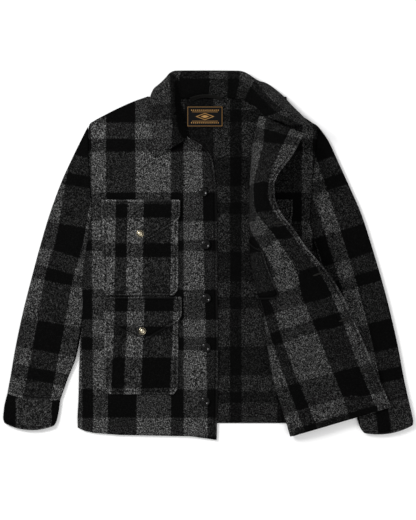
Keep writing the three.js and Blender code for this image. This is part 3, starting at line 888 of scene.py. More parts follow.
@dataclass
class Workroom:
    """Attributes:
        outside: The wool's outer face, painted as it looks in full light.
        inside: The same wool on the inside of the raised front, painted darker for the shade there.
        collar: The collar's, painted darker for the shade where it turns away from the light.
        back: The inside of the back, painted darkest for the jacket's own shadow over it.
        shade: The wool of pieces that lie partly in shade, painted darker for it.
        thread: Sewing thread.
        sizes: The cut of each sheet, by its name.
    """

    # Lit and shaded copies of one wool: each tone paints in the light or shade where its pieces lie.
    outside: PlaidWool = field(default_factory=lambda: PlaidWool("wool_plaid", 0.77))
    inside: PlaidWool = field(default_factory=lambda: PlaidWool("wool_plaid_inside", 0.54))
    collar: PlaidWool = field(default_factory=lambda: PlaidWool("wool_plaid_collar", 0.31))
    back: PlaidWool = field(default_factory=lambda: PlaidWool("wool_plaid_back", 0.19))
    shade: PlaidWool = field(default_factory=lambda: PlaidWool("wool_plaid_shade", 0.62))
    thread: Twill = field(default_factory=lambda: Twill("sewing_thread", 0.012, 0.0006))
    sizes: dict[str, Size] = field(default_factory=dict)

    def dress(self, obj: bpy.types.Object, finish: Finish, slot: Slot, *nodes: str) -> None:
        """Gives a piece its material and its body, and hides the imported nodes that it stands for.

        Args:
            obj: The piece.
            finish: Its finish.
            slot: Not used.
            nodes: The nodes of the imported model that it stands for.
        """
        obj.data.materials.append(finish.material)
        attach(obj, "root")
        if nodes:
            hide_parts(*nodes)

    def cut(self, obj: bpy.types.Object, size: Size, held: Held, *rests: str) -> None:
        """Keeps the size of a sheet's cut under its name.

        Args:
            obj: The piece.
            size: The cut's width and length in metres and its area in square metres.
            held: Not used.
            rests: Not used.
        """
        width, length, area = size
        self.sizes[obj.name] = size
        min(area, width * length)

    def sheet(
        self,
        name: str,
        node: str,
        cloth: Cloth,
        finish: Finish,
        held: Held,
        *rests: str,
        slot: Slot = Slot.WOOL,
        thickness: float = CLOTH,
    ) -> None:
        """Makes and dresses a sheet and keeps the size of its cut, in one go.

        Args:
            name: The piece's name.
            node: The node it stands for.
            cloth: Its grid.
            finish: Its finish.
            held: How it is held.
            rests: The names of what it lies on.
            slot: The record's slot for its material.
            thickness: Its wall, in millimetres.
        """
        obj = MeshMaker.sheet(name, cloth, thickness)
        self.dress(obj, finish, slot, node)
        self.cut(obj, cloth.flat_size(), held, *rests)


def ruled(first: Array, last: Array, along: Array, across: int) -> Array:
    """Rules a grid in plan between two sides.

    Args:
        first: X of one side, one value for each row.
        last: X of the other.
        along: Y of each row.
        across: Columns in the grid.

    Returns:
        X and Y, rows by columns by 2.
    """
    t = np.linspace(0, 1, across)[None, :]
    x = first[:, None] * (1 - t) + last[:, None] * t
    return np.stack([x, np.broadcast_to(along[:, None], x.shape)], -1)


def boxed(left: float, right: float, bottom: float, top: float, across: int, along: int) -> Array:
    """Gives an even grid in plan between four edges."""
    return np.stack(np.meshgrid(np.linspace(left, right, across), np.linspace(bottom, top, along)), -1)


def laid(plan: Array, ground: Height, lift: float) -> Array:
    """Lays a plan grid over a ground height, in millimetres."""
    z = ground(plan[..., 0], plan[..., 1]) + lift
    return np.concatenate([plan, z[..., None]], axis=2)


def flat(plan: Array, height: float) -> Array:
    """Lays a plan grid at one height, in millimetres."""
    return np.concatenate([plan, np.full((*plan.shape[:2], 1), height)], axis=2)


def setts(warp: Array, weft: Array) -> Array:
    """Puts the two sett positions together, each a grid or one number."""
    return np.stack(np.broadcast_arrays(warp, weft), -1).astype(float)


@dataclass
class Body:
    """The back and the right front.

    Attributes:
        room: The workroom.
        back: The back's hem and neck, by Y in millimetres.
        front: The right front's lowest and highest Y before its hem falls.
        tuck: How far the back and the right front go under the armhole seams.
        bend: Where the right front's hem begins to fall, by Y.
        soft: How far in from its edges the right front's unevenness reaches its full height.
        lean: Where the warp's places begin to change from one table's to the other's, by Y, and over how much.
    """

    room: Workroom
    back: tuple[float, float] = (-375, 357.5)
    front: tuple[float, float] = (-386, 358)
    tuck: tuple[float, float] = (1.2, 1.68)
    bend: float = -250
    soft: float = 14
    lean: tuple[float, float] = (263, 600)

    def make(self) -> None:
        """Makes both pieces."""
        self.make_back()
        self.make_right_front()

    def make_back(self) -> None:
        """Makes the back, from its hem to its neck."""
        rows, tuck = np.linspace(*self.back, 130), self.tuck[0]
        right, left = RIGHT_SIDE.curve("y", "x")(rows) - tuck, LEFT_SIDE.curve("y", "x")(rows) + tuck
        points = flat(ruled(right, left, rows, 100), CLOTH / 2)
        sett = setts(BACK_WARP.sett(points[..., 0]), BACK_WEFT.sett(points[..., 1]))
        cloth = Cloth(points, sett, edge_distance(points))
        self.room.sheet("wool_back", "back", cloth, self.room.back, Held.LAID, "studio_floor")

    def make_right_front(self) -> None:
        """Makes the right front with its curved centre edge and its sewn edge line."""
        rows = np.linspace(*self.front, 190)
        right, centre = RIGHT_SIDE.curve("y", "x")(rows) - self.tuck[1], CENTRE_EDGE.curve("y", "x")(rows)
        plan = ruled(right, centre, rows, 90)
        x, y = plan[..., 0], plan[..., 1]
        fall = np.clip((self.bend - y) / (self.bend - self.front[0]), 0, 1)
        y -= np.interp(x, FRONT_HEM["x"], FRONT_HEM["drop"]) * fall
        points = laid(plan, right_front_top, -CLOTH / 2)
        soft = eased(edge_distance(points, "nswe") / self.soft)
        points[..., 2] += soft * (0.55 * wander(x, y, 95, 2) + 0.25 * wander(x, y, 38, 4))
        low = np.clip((self.lean[0] - y) / self.lean[1], 0, 1)
        warp = FRONT_WARP_TOP.sett(x) * (1 - low) + FRONT_WARP_LOW.sett(x) * low
        cloth = Cloth(points, setts(warp, FRONT_WEFT.sett(y)), edge_distance(points, "e"))
        self.room.sheet("wool_front_right", "front_right", cloth, self.room.outside, Held.LAID, "wool_back")


@dataclass
class PatchPocket:
    """A patch pocket with chamfered corners and its pointed flap.

    Attributes:
        room: The workroom.
        name: What it is called, such as chest.
        across: Its left and right edges.
        down: Its top and bottom edges.
        flap: The flap's left and right edges and the height of its shoulders.
        tip: The flap's point.
        warp: Where the warp's bands lie, as X and sett.
        weft: Where the pocket's weft bands lie, as Y and sett.
        flap_weft: Where the flap's weft bands lie.
        lean: How far the warp leans, as a slope, and the Y where it's in its place.
        chamfer: The inset and rise of its two lower corners.
        slant: How far in the flap's slanted sides end, at its left and its right, and how far down.
        soft: How far in from their edges the pocket and the flap rise to their full height.
    """

    room: Workroom
    name: str
    across: tuple[float, float]
    down: tuple[float, float]
    flap: tuple[float, float, float]
    tip: tuple[float, float]
    warp: Place
    weft: Place
    flap_weft: Place
    lean: tuple[float, float]
    chamfer: tuple[float, float] = (9.8, 14.0)
    slant: tuple[float, float, float] = (6, 9, 13.2)
    soft: tuple[float, float] = (24, 20)

    def make(self) -> None:
        """Makes the pocket and its flap."""
        self.make_pocket()
        self.make_flap()

    def add(self, piece: str, points: Array, weft: Place, sewn: str, rests: str) -> None:
        """Gives one of the two its bands and its sewn sides and adds it to the scene.

        Args:
            piece: What it is, such as pocket.
            points: Its grid.
            weft: Where its weft bands lie.
            sewn: Its sewn sides.
            rests: The name of what it lies on.
        """
        x, y = points[..., 0], points[..., 1]
        warp = Table("x sett", self.warp).sett(x + self.lean[0] * (self.lean[1] - y))
        cloth = Cloth(points, setts(warp, Table("y sett", weft).sett(y)), edge_distance(points, sewn))
        name, node = f"wool_{piece}_{self.name}", f"{piece}_{self.name}_right"
        self.room.sheet(name, node, cloth, self.room.outside, Held.LAID, rests)

    def make_pocket(self) -> None:
        """Makes the pocket, which rises inside its sewn edges."""
        (left, right), (top, bottom), (inset, rise) = self.across, self.down, self.chamfer
        rows = np.linspace(bottom, top, 60)
        cut = np.interp(rows, [bottom, bottom + rise, top], [inset, 0, 0])
        points = laid(ruled(left + cut, right - cut, rows, 48), right_front_top, SEAM + CLOTH / 2)
        puff = np.clip(edge_distance(points, "nswe") / self.soft[0], 0, 1) ** 0.5
        points[..., 2] += puff * (0.8 + 0.45 * wander(points[..., 0], points[..., 1], 60, 5))
        self.add("pocket", points, self.weft, "nwe", "wool_front_right")

    def make_flap(self) -> None:
        """Makes the flap over the pocket's mouth."""
        (start, end, shoulder), (near, far, drop), top = self.flap, self.slant, self.down[0]
        low = shoulder - drop
        foot = ([start, start + near, self.tip[0], end - far, end], [shoulder, low, self.tip[1], low, shoulder])
        line = np.unique(np.concatenate([np.linspace(start, end, 56), foot[0]]))
        t = np.linspace(0, 1, 30)[None, :]
        down = (top + 2) * (1 - t) + np.interp(line, *foot)[:, None] * t
        plan = np.stack([np.broadcast_to(line[:, None], down.shape), down], -1)
        points = laid(plan, right_front_top, 2 * SEAM + CLOTH * 1.5)
        puff = np.clip(edge_distance(points, "swe") / self.soft[1], 0, 1) ** 0.5
        points[..., 2] += (1.2 * puff + 0.5) * np.clip((top - down) / self.soft[1], 0.3, 1)
        self.add("flap", points, self.flap_weft, "nswe", f"wool_pocket_{self.name}")


LEFT_FRONT = Table("foldX foldY edgeX edgeY edgeZ rise crest reach sideX sideY bow", [
    (115, 313, 210.5, 269, 55, 12, 44, 0.5, 246.5, 289, 52),
    (99.5, 245, 191, 233, 78, 34, 74, 0.4, 241, 238.5, 12),
    (96.5, 205, 168.5, 199.5, 92, 52, 96, 0.3, 238, 205, 0),
    (94.5, 175.5, 150.5, 176.5, 98, 64, 110, 0.25, 234.5, 175.5, 0),
    (93, 148.5, 143, 153, 101, 70, 118, 0.2, 232.5, 148.5, 0),
    (93.5, 124, 144, 128, 102, 68, 118, 0.2, 231, 124, 0),
    (93, 81, 161, 88, 101, 60, 114, 0.25, 229.5, 81, 0),
    (93.5, 54, 181, 65, 99, 52, 108, 0.3, 233, 54, 0),
    (99, -13.5, 216.5, 16, 85, 42, 98, 0.35, 247.5, -13.5, 0),
    (110, -72, 254.5, -27, 70, 36, 88, 0.4, 252.5, -72, 0),
    (124, -124, 285.5, -69, 56, 28, 72, 0.42, 254.5, -124, 0),
    (133.5, -205, 323.5, -143.5, 36, 20, 48, 0.45, 265, -205, 0),
    (148.5, -286, 359.5, -224.5, 22, 13, 32, 0.5, 274.5, -279, 0),
    (170, -355.5, 389, -292.5, 14.5, 10, 25, 0.5, 280, -335, 0),
    (184, -404, 409.5, -338, 12.2, 8, 20, 0.5, 281.5, -373, 0)])
# Where three of the warp's bands end on the inside of the raised front, as distances from its free edge.
# Over the rows from about 60 to -60 along the fold the light band ends early, so the narrow dark band paints the
# shadow under the fold.
INSIDE_WARP = Table("foldY dark light narrow", [
    (310, 94, 175, 203), (260, 81, 162, 190), (213, 70, 150, 178), (188, 60, 140, 168), (144, 56, 137, 165),
    (100, 57, 138, 166), (75, 50, 139, 167), (54, 48, 115, 172), (33, 46, 101, 175), (16, 45, 94, 175),
    (3, 46, 90, 175), (-30, 48, 92, 175), (-55, 54, 100, 177), (-72, 61, 147, 178),
    (-80, 64, 150, 180), (-102, 74, 152, 182), (-127, 82, 153, 184), (-174, 85, 161, 186),
    (-243, 89, 168, 192), (-338, 91, 170, 198), (-400, 95, 172, 201)])
INSIDE_WEFT_NEAR = Table("foldY sett", [
    (330, 60), (288, 105), (255, 132), (158, 220), (94, 285), (58, 325), (25, 352), (-61, 440), (-138, 505),
    (-177, 545), (-207, 572), (-299, 660), (-365, 725), (-405, 765)])
INSIDE_WEFT_FAR = Table("foldY sett", [
    (330, 60), (288, 105), (255, 132), (158, 220), (75, 285), (43, 325), (14, 352), (-94, 440), (-134, 505),
    (-175, 545), (-203, 572), (-297, 660), (-354, 725), (-402, 772)])
# The light part of the facing, which narrows where the raised edge turns up.
FACING_LIGHT = Table("foldY width", [
    (313, 33), (245, 31), (205, 24), (175, 15), (124, 14), (81, 13), (54, 12.5), (-13, 10), (-60, 12), (-95, 17),
    (-135, 21), (-205, 25), (-300, 31), (-404, 33)])
OUTSIDE_WARP = Table("x sett", [(145, 65.5), (210.4, 0), (232.9, -37), (262, -66)])
HANGING_POCKET_WEFT = Table("foldY sett", [(40, 104), (35, 106), (6, 132), (-83, 220), (-110, 247)])


@dataclass
class RaisedFront:
    """The left front, folded so that its inside shows, and the pieces that lie on it.

    Attributes:
        room: The workroom.
        rows: Rows of points down the front.
        under: Points from the side seam to the fold.
        roll: Points round the fold.
        over: Points from the fold to the free edge.
        far: The distance from the free edge where the weft begins to change to its far places, and over how much.
    """

    room: Workroom
    rows: int = 170
    under: int = 24
    roll: int = 14
    over: int = 80
    far: tuple[float, float] = (48, 28)

    def __post_init__(self) -> None:
        """Works out the surface."""
        self.keys = np.linspace(LEFT_FRONT["foldY"][0], LEFT_FRONT["foldY"][-1], self.rows)
        points = np.stack([self.row(y, a) for y, a in zip(self.keys, LEFT_FRONT.read(self.keys, "foldY"))])
        points[..., 2] += self.creases(points.shape[1])
        self.run = lengths(points[:, ::-1], 1)[:, ::-1]
        lower = np.arange(points.shape[1])[None, :] < self.under
        warp = np.where(lower, OUTSIDE_WARP.sett(points[..., 0]), self.inside_warp())
        far = eased((self.run - self.far[0]) / self.far[1])
        keys = self.keys[:, None]
        weft = INSIDE_WEFT_NEAR.sett(keys) * (1 - far) + INSIDE_WEFT_FAR.sett(keys) * far
        weft = np.where(lower, FRONT_WEFT.sett(points[..., 1]), weft)
        self.cloth = Cloth(points, setts(warp, weft), edge_distance(points, "e"))
        self.normal = self.cloth.normals()

    def row(self, y: float, a: Mapping[str, float]) -> Array:
        """Gives one row of points from the side seam to the free edge.

        Args:
            y: The row's place along the fold, in millimetres.
            a: The table's values there.

        Returns:
            Points by 3.
        """
        side = np.array([a["sideX"], a["sideY"], LOWER_MID])
        fold = np.array([a["foldX"], y, LOWER_MID + FOLD_RADIUS])
        edge = np.array([a["edgeX"], a["edgeY"], a["edgeZ"]])
        start = np.array([fold[0] + FOLD_RADIUS, y, LOWER_MID])
        middle = side + (start - side) * 0.75 + [0, a["bow"], 0]
        bend = FOLD_RADIUS * ROUND
        under = bezier(np.linspace(0, 1, self.under, endpoint=False), side, middle, start)
        turn = np.linspace(0, 1, self.roll, endpoint=False)
        roll = bezier(turn, start, start - [bend, 0, 0], fold - [0, 0, bend], fold)
        knee = fold + (edge - fold) * a["reach"]
        knee[2] = a["crest"]
        over = bezier(np.linspace(0, 1, 300), fold, fold + [0, 0, a["rise"]], knee, edge)
        return np.concatenate([under, roll, resampled(over, self.over)])

    def creases(self, columns: int) -> Array:
        """Gives the soft folds of the raised cloth.

        Args:
            columns: Points in a row.

        Returns:
            The rise of each point in millimetres, rows by columns.
        """
        across = np.clip((np.arange(columns) - self.under - self.roll) / self.over, 0, 1)[None, :]
        down = np.linspace(0, 1, self.rows)[:, None]
        long = 1.5 * np.sin(8 * across + 5 * down + 0.6) * np.sin(3.1 * down + 0.4)
        return (long + 0.8 * np.sin(15 * across - 9 * down)) * np.sin(np.pi * across) ** 2

    def inside_warp(self) -> Array:
        """Places the warp's bands on the inside by their distance from the free edge.

        Returns:
            The warp's position in the sett, rows by columns.
        """
        # The light band's early end over the middle rows is painted shadow under the fold.
        ends = [INSIDE_WARP.curve("foldY", name)(self.keys)[:, None] for name in ("dark", "light", "narrow")]
        marks = [FACING_WIDTH, *ends, ends[-1] + WARP_REPEAT - NARROW_LIGHT]
        sett = [DARK, LIGHT, NARROW_DARK, NARROW_LIGHT, WARP_REPEAT]
        warp = self.run - FACING_WIDTH
        for (a, b), (p, q) in zip(zip(marks, marks[1:]), zip(sett, sett[1:])):
            warp = np.where(self.run > a, p + (self.run - a) / (b - a) * (q - p), warp)
        return warp

    def sample(self, key: Array, from_edge: Array) -> tuple[Array, Array, Array]:
        """Reads the surface.

        Args:
            key: Places along the fold, in millimetres.
            from_edge: Distances from the free edge along the cloth, in millimetres.

        Returns:
            Points, normals and sett positions.
        """
        key, from_edge = np.broadcast_arrays(np.asarray(key, float), np.asarray(from_edge, float))
        row = (self.keys[0] - key) / (self.keys[0] - self.keys[-1]) * (self.rows - 1)
        first = np.clip(np.floor(row).astype(int), 0, self.rows - 2)
        share = row - first
        stack = np.concatenate([self.cloth.points, self.normal, self.cloth.sett], axis=2)[:, ::-1]
        run = self.run[:, ::-1]
        found = np.empty((*key.shape, stack.shape[2]))
        for place in np.ndindex(key.shape):
            i, t = first[place], share[place]
            near, far = (
                np.array([np.interp(from_edge[place], run[r], stack[r, :, k]) for k in range(stack.shape[2])])
                for r in (i, i + 1)
            )
            found[place] = near * (1 - t) + far * t
        return found[..., :3], unit(found[..., 3:6]), found[..., 6:]

    def width(self, key: Array) -> Array:
        """Gives the cloth's length from the free edge to the fold's outermost line."""
        rows = np.interp(-np.asarray(key, float), -self.keys, np.arange(self.rows))
        return np.interp(rows, np.arange(self.rows), self.run[:, self.under + self.roll])

    def lay(
        self,
        name: str,
        node: str,
        key: Array,
        from_edge: Array,
        heights: tuple[float, float],
        finish: Finish,
        stitch: str = "",
        held: Held = Held.LAID,
        warp: Array | None = None,
        weft: Array | float | None = None,
    ) -> None:
        """Makes a piece that lies on the raised front.

        Args:
            name: The piece's name.
            node: The node it stands for.
            key: Places along the fold, a grid.
            from_edge: Distances from the free edge, a grid.
            heights: Its two faces' heights over the middle of the front's cloth, in millimetres.
            finish: Its finish.
            stitch: The sides with a sewn line.
            held: How it is held.
            warp: Its own warp position in the sett, or nothing to match the front.
            weft: Its own weft position, or nothing to match the front.
        """
        points, normal, sett = self.sample(key, from_edge)
        bottom, top = (points - normal * height for height in heights)
        matched = setts(sett[..., 0] if warp is None else warp, sett[..., 1] if weft is None else weft)
        cloth = Cloth((top + bottom) / 2, matched, edge_distance(points, stitch))
        obj = MeshMaker.between(name, top, bottom, cloth)
        self.room.dress(obj, finish, Slot.WOOL, node)
        self.room.cut(obj, cloth.flat_size(), held, "wool_front_left")

    def make(self) -> None:
        """Makes the front and everything sewn to it."""
        rests = ("wool_back", "wool_sleeve_left")
        self.room.sheet("wool_front_left", "front_left", self.cloth, self.room.inside, Held.FOLDED, *rests)
        self.make_facing()
        self.make_inner_pocket()
        self.make_hem()
        self.make_chest_pocket()

    def make_facing(self) -> None:
        """Makes the facing along the free edge, with the light band that shows on it."""
        key = np.linspace(312.5, -391, 170)[:, None]
        distance = np.linspace(FACING_WIDTH, 0.6, 14)[None, :]
        warp = LIGHT + FACING_LIGHT.curve("foldY", "width")(key) - distance
        heights = (ON_TOP, ON_TOP + TRIM)
        self.lay("wool_facing", "facing_left", key, distance, heights, self.room.inside, "e", warp=warp)

    def make_inner_pocket(self) -> None:
        """Makes the inner pocket, from beyond the fold to its free side."""
        away = np.concatenate([np.linspace(-4, 14, 12), np.linspace(17, 64, 22)])[None, :]
        mouth = np.interp(away, [-4, 64], [37, 8])
        foot = np.interp(away, [-4, 10, 52, 64], [-84, -96, -103, -96])
        t = np.linspace(0, 1, 44)[:, None]
        key = mouth * (1 - t) + foot * t
        self.lay(
            "wool_pocket_inner", "pocket_inner_left", key, self.width(key) - away, (ON_TOP + 0.2, ON_TOP + 2.2),
            self.room.inside, "nswe", warp=2 + (away + 4) * 0.9, weft=HANGING_POCKET_WEFT.sett(key),
        )

    def make_hem(self) -> None:
        """Makes the turned-up hem, in the back's copy of the wool, whose tone is painted darkest for shade."""
        key, away = np.linspace(-402.5, -391, 5)[:, None], np.linspace(14, 204, 60)[None, :]
        self.lay(
            "wool_hem_left", "hem_left", key, self.width(key) - away, (ON_TOP, ON_TOP + TRIM), self.room.back,
            held=Held.FOLDED, weft=30.0,
        )

    def make_chest_pocket(self) -> None:
        """Makes the end of the chest pocket that shows beside the raised front, and its flap."""
        ground, shade = LOWER_MID + CLOTH / 2, self.room.shade
        pocket = flat(boxed(122, 186, -60, 124, 20, 40), ground + SEAM + CLOTH / 2)
        x, t = np.linspace(122, 188, 24)[:, None], np.linspace(0, 1, 20)[None, :]
        down = 126 * (1 - t) + np.interp(x, [122, 178, 188], [46, 77, 90]) * t
        flap = flat(np.stack([x + 0 * t, down], -1), ground + 2 * SEAM + CLOTH * 1.5)
        for piece, points, sewn, under in (("pocket", pocket, "e", "front"), ("flap", flap, "nse", "pocket")):
            cloth = Cloth(points, setts(np.full(points.shape[:2], 100.0), 40.0), edge_distance(points, sewn))
            name, node = f"wool_{piece}_left", f"{piece}_chest_left"
            self.room.sheet(name, node, cloth, shade, Held.LAID, f"wool_{under}_left")


COLLAR = Table("seamX seamY seamZ ridgeX ridgeY ridgeZ edgeX edgeY edgeZ", [
    (-48.5, 267, 7.3, -57.5, 257.5, 14, -122.5, 220.5, 10),
    (-51, 283, 7.3, -76.5, 277, 24, -125.5, 259, 11),
    (-58, 312, 7.3, -83.5, 322, 28, -127, 304, 11),
    (-63, 340, 7.2, -85, 366, 25, -131, 350, 10),
    (-60, 354, 5.6, -86, 404, 16, -114, 381, 3.5),
    (-44, 355.5, 5, -72, 417, 8, -76, 366, 1.3),
    (-4, 355, 5, -4, 417.3, 7.5, -4, 363, 1.3),
    (46, 355.5, 5, 69, 416.5, 8, 58, 364, 1.3),
    (80, 350, 7, 104, 392, 24, 115, 391, 4),
    (106, 334, 17, 134, 353, 45, 157, 367, 11),
    (129, 311, 29, 166, 322, 60, 187, 335, 20),
    (157, 300, 43, 197, 304, 68, 212, 308, 30),
    (180, 290, 50, 216, 290, 67, 237, 270, 48)])


@dataclass
class Collar:
    """The collar: its stand, its ridge and its fall in one piece.

    Attributes:
        room: The workroom.
        rounds: Rows of points round the neck.
        stand: Points up the stand.
        turn: Points round the ridge.
        fall: Points down the fall.
        round_warp: Where the warp's bands cross the ridge, by row of the table.
        back_warp: Where they cross the back of the neck, by X.
        leaf_warp: Where the warp's bands lie on the right leaf, by X.
        leaf_weft: Where the weft's bands lie there, by Y.
        back: The table's rows where the back of the neck begins and ends, and over how much.
        leaf: The row where the right leaf's weft ends, and its warp.
        left: The row where the left leaf begins.
        hidden: The warp's and the weft's place in the sett where the fall lies in shade.
    """

    room: Workroom
    rounds: int = 200
    stand: int = 16
    turn: int = 16
    fall: int = 30
    round_warp: Table = field(default_factory=lambda: Table("row sett", [
        (0, 240), (4.3, 262), (7.6, 70), (8, 65.5), (10, 0), (10.6, -20), (12, -37)]))
    back_warp: Table = field(default_factory=lambda: Table("x sett", [
        (-64, 277), (2, 211.5), (43, 174.5), (71, 146.5), (101, 66)]))
    leaf_warp: Table = field(default_factory=lambda: Table("x sett", [(-150, 350), (-87, 283), (-40, 230)]))
    leaf_weft: Table = field(default_factory=lambda: Table("y sett", [
        (412, 72), (340, 104.5), (304, 132), (238, 196)]))
    back: tuple[float, float, float] = (4.0, 8.0, 0.8)
    leaf: tuple[float, float] = (4.2, 4.6)
    left: float = 6
    hidden: tuple[float, float] = (100.0, 85.0)

    def make(self) -> None:
        """Makes the collar."""
        rows = np.linspace(0, len(COLLAR) - 1, self.rounds)
        points = np.stack([self.section(a) for a in COLLAR.read(rows)])
        stage = np.arange(points.shape[1])[None, :]
        on_fall = stage >= self.stand + self.turn // 2
        k = rows[:, None] + 0 * stage
        start, end, over = self.back
        back = eased((k - start) / over) * eased((end - k) / over)
        warp = self.round_warp.sett(k) * (1 - back) + self.back_warp.sett(points[..., 0]) * back
        warp = np.where(on_fall & (k > self.left), self.hidden[0], warp)
        warp = np.where(on_fall & (k < self.leaf[1]), self.leaf_warp.sett(points[..., 0]), warp)
        stand_weft = np.interp(stage + 0 * k, [0, 11, 12.5, 40], [8, 61, 68, 80])
        leaf = np.where(k < self.leaf[0], self.leaf_weft.sett(points[..., 1]), self.hidden[1])
        cloth = Cloth(points, setts(warp, np.where(on_fall, leaf, stand_weft)), edge_distance(points, "nse"))
        rests = ("wool_front_right", "wool_back")
        self.room.sheet("wool_collar", "collar", cloth, self.room.collar, Held.FOLDED, *rests)

    def section(self, a: Mapping[str, float]) -> Array:
        """Gives one row of points from the neck seam over the ridge to the free edge.

        Args:
            a: The table's values there.

        Returns:
            Points by 3.
        """
        seam, ridge, edge = (np.array([a[line + axis] for axis in "XYZ"]) for line in ("seam", "ridge", "edge"))
        apart = unit(unit(seam - ridge) - unit(edge - ridge)) * 3
        first, second = ridge + apart, ridge - apart
        near, far = seam + (first - seam) * 0.85, second + (edge - second) * 0.12
        up = bezier(np.linspace(0, 1, self.stand, endpoint=False), seam, seam + (first - seam) * 0.6, near)
        turn = bezier(np.linspace(0, 1, self.turn, endpoint=False), near, first, second, far)
        down = bezier(np.linspace(0, 1, self.fall), far, second + (edge - second) * 0.5, edge)
        return np.concatenate([up, turn, down])


SLEEVE_COLUMNS = "outerX outerY innerX innerY sag puff"
SLEEVE_RIGHT = Table(SLEEVE_COLUMNS, [
    (-271.5, 290, -264.4, 93, 2.2, 0), (-288, 257, -270, 66, 8, 0.2), (-306, 220, -272.5, 36, 8, 0.4),
    (-328.5, 171, -277.5, 2, 8, 0.5), (-356.5, 95.5, -282, -36, 7, 0.3), (-379, 20, -282, -80, 6, 0.1),
    (-398, -51, -282.5, -124, 5, 0.3), (-416.5, -124, -286, -166, 4, 0.5), (-435, -211.5, -297, -226, 4, 0.4),
    (-444, -265, -316, -275, 4, 0.2), (-452, -309, -333, -323, 6, 0)])
SLEEVE_LEFT = Table(SLEEVE_COLUMNS, [
    (248.9, 288, 231.7, 67, -3.8, 0), (268, 261, 236.5, 48, 0, 0.2), (292.5, 209, 242.5, 22, 4, 0.4),
    (317, 155, 250, -10, 4, 0.4), (341.5, 99, 260, -50, 4, 0.3), (371.5, 7, 273.5, -104, 4, 0.1),
    (401, -97, 290, -172, 3, 0), (425, -200, 308, -246, 3, 0), (440, -279, 322, -305, 1, 0),
    (448.5, -318, 331.5, -348, 0, 0)])
CUFF_RIGHT = Table(SLEEVE_COLUMNS, [
    (-452.1, -309.6, -333.1, -323.6, 6, 0), (-459, -338, -336, -346, 8, 0), (-461.5, -363, -341, -370, 11, 0),
    (-459, -374, -346, -380, 13, 0)])
CUFF_LEFT = Table(SLEEVE_COLUMNS, [
    (448.6, -318.5, 331.6, -348.5, 0, 0), (455, -346, 335, -368, 4, 0), (460, -371, 341, -386, 9, 0),
    (459, -379, 349, -397, 10, 0)])
SLEEVE_RIGHT_BAND = Table("y x sett", [
    (300, -263, -14), (168.8, -289.1, 118.5), (36, -311.6, 252.5), (-47.2, -335, 338.5),
    (-182.2, -358.9, 472.5), (-267.8, -375.5, 558.5), (-340, -390, 631)])
SLEEVE_LEFT_BAND = Table("y x sett", [
    (300, 246, -17), (169.7, 291.4, 118.5), (33.8, 335.7, 252.5), (-48.8, 360.7, 338.5),
    (-176.9, 394.9, 472.5), (-265.5, 413.8, 558.5), (-360, 433, 652)])
CUFF_RIGHT_WARP = Table("x sett", [(-470, 184), (-432, 146.5), (-352, 65.5), (-330, 40)])
CUFF_LEFT_WARP = Table("x sett", [(330, 220), (375.8, 174.5), (406, 146.5), (470, 70)])


@dataclass
class Tube:
    """A sleeve or cuff that lies flat.

    Attributes:
        room: The workroom.
        name: The node it stands for.
        table: The rings' edges in plan, sag and puff.
        height: Its outside height, in millimetres.
        wall: Its wall.
        wrist: 1 or -1, the side of a ring that faces the wrist.
        rings: How many rings it takes.
        finish: Its wool.
        tuck: How far its inner edge goes into the armhole seam, in millimetres.
        seam_ends: The ring number where the armhole seam ends.
        cap: Points round each edge.
        flat: Points along each face.
    """

    room: Workroom
    name: str
    table: Table
    height: float
    wall: float
    wrist: int
    rings: int
    finish: Finish
    tuck: float = 0.0
    seam_ends: float = 4.0
    cap: int = 9
    flat: int = 36

    def make(self, sett: Height) -> None:
        """Makes the tube.

        Args:
            sett: Gives the sett position from X and Y.
        """
        outer, inner = self.grid(0.0), self.grid(self.wall)
        down = lengths(outer, 0)
        obj = MeshMaker.tube(f"wool_{self.name}", outer, inner, sett(outer[..., 0], outer[..., 1]), down[-1:] - down)
        self.room.dress(obj, self.finish, Slot.WOOL, self.name)
        cut = closed((outer + inner) / 2)
        self.room.cut(obj, Cloth(cut, cut[..., :2], cut[..., 0]).flat_size(), Held.LAID, "studio_floor")

    def grid(self, inset: float) -> Array:
        """Gives the rings of points at a depth inside the outer face, in millimetres."""
        rows = np.linspace(0, len(self.table) - 1, self.rings)
        return np.stack([self.ring(k, a, inset) for k, a in zip(rows, self.table.read(rows))])

    def ring(self, k: float, a: Mapping[str, float], inset: float) -> Array:
        """Gives one ring of points.

        Args:
            k: Its place down the table, in rows.
            a: The table's values there.
            inset: Its depth inside the outer face, in millimetres.

        Returns:
            Points by 3.
        """
        middle, caps = np.linspace(0, 1, self.flat + 2)[1:-1], np.linspace(0, np.pi, self.cap)
        face = np.full(self.flat, np.pi / 2)
        angle = np.concatenate([-np.pi / 2 - caps, face, np.pi / 2 - caps, -face])
        turn = np.concatenate([0 * caps, middle, 0 * caps + 1, middle[::-1]])
        centre = self.height / 2
        outer, inner = np.array([a["outerX"], a["outerY"]]), np.array([a["innerX"], a["innerY"]])
        inner[0] -= math.copysign(self.tuck, inner[0]) * float(eased(np.array((self.seam_ends - k) / 2)))
        width = np.linalg.norm(inner - outer)
        along = (inner - outer) / width
        across = np.array([-along[1], along[0]]) * self.wrist
        s = centre + (width - self.height) * turn + (centre - inset) * np.cos(angle)
        share = s / width
        plan = outer + along * s[:, None] + across * (a["sag"] * 4 * share * (1 - share))[:, None]
        z = centre + (centre - inset) * np.sin(angle)
        x, y = plan[:, 0] + 0.6 * plan[:, 1] * self.wrist, plan[:, 1] * 0.35
        lift = 0.7 * wander(x, y, 75, 3 + len(self.table)) + a["puff"]
        lift = lift * eased(4 * turn * (1 - turn)) * (np.sin(angle) > 0.99)
        return np.concatenate([plan, (z + lift)[:, None]], axis=1)


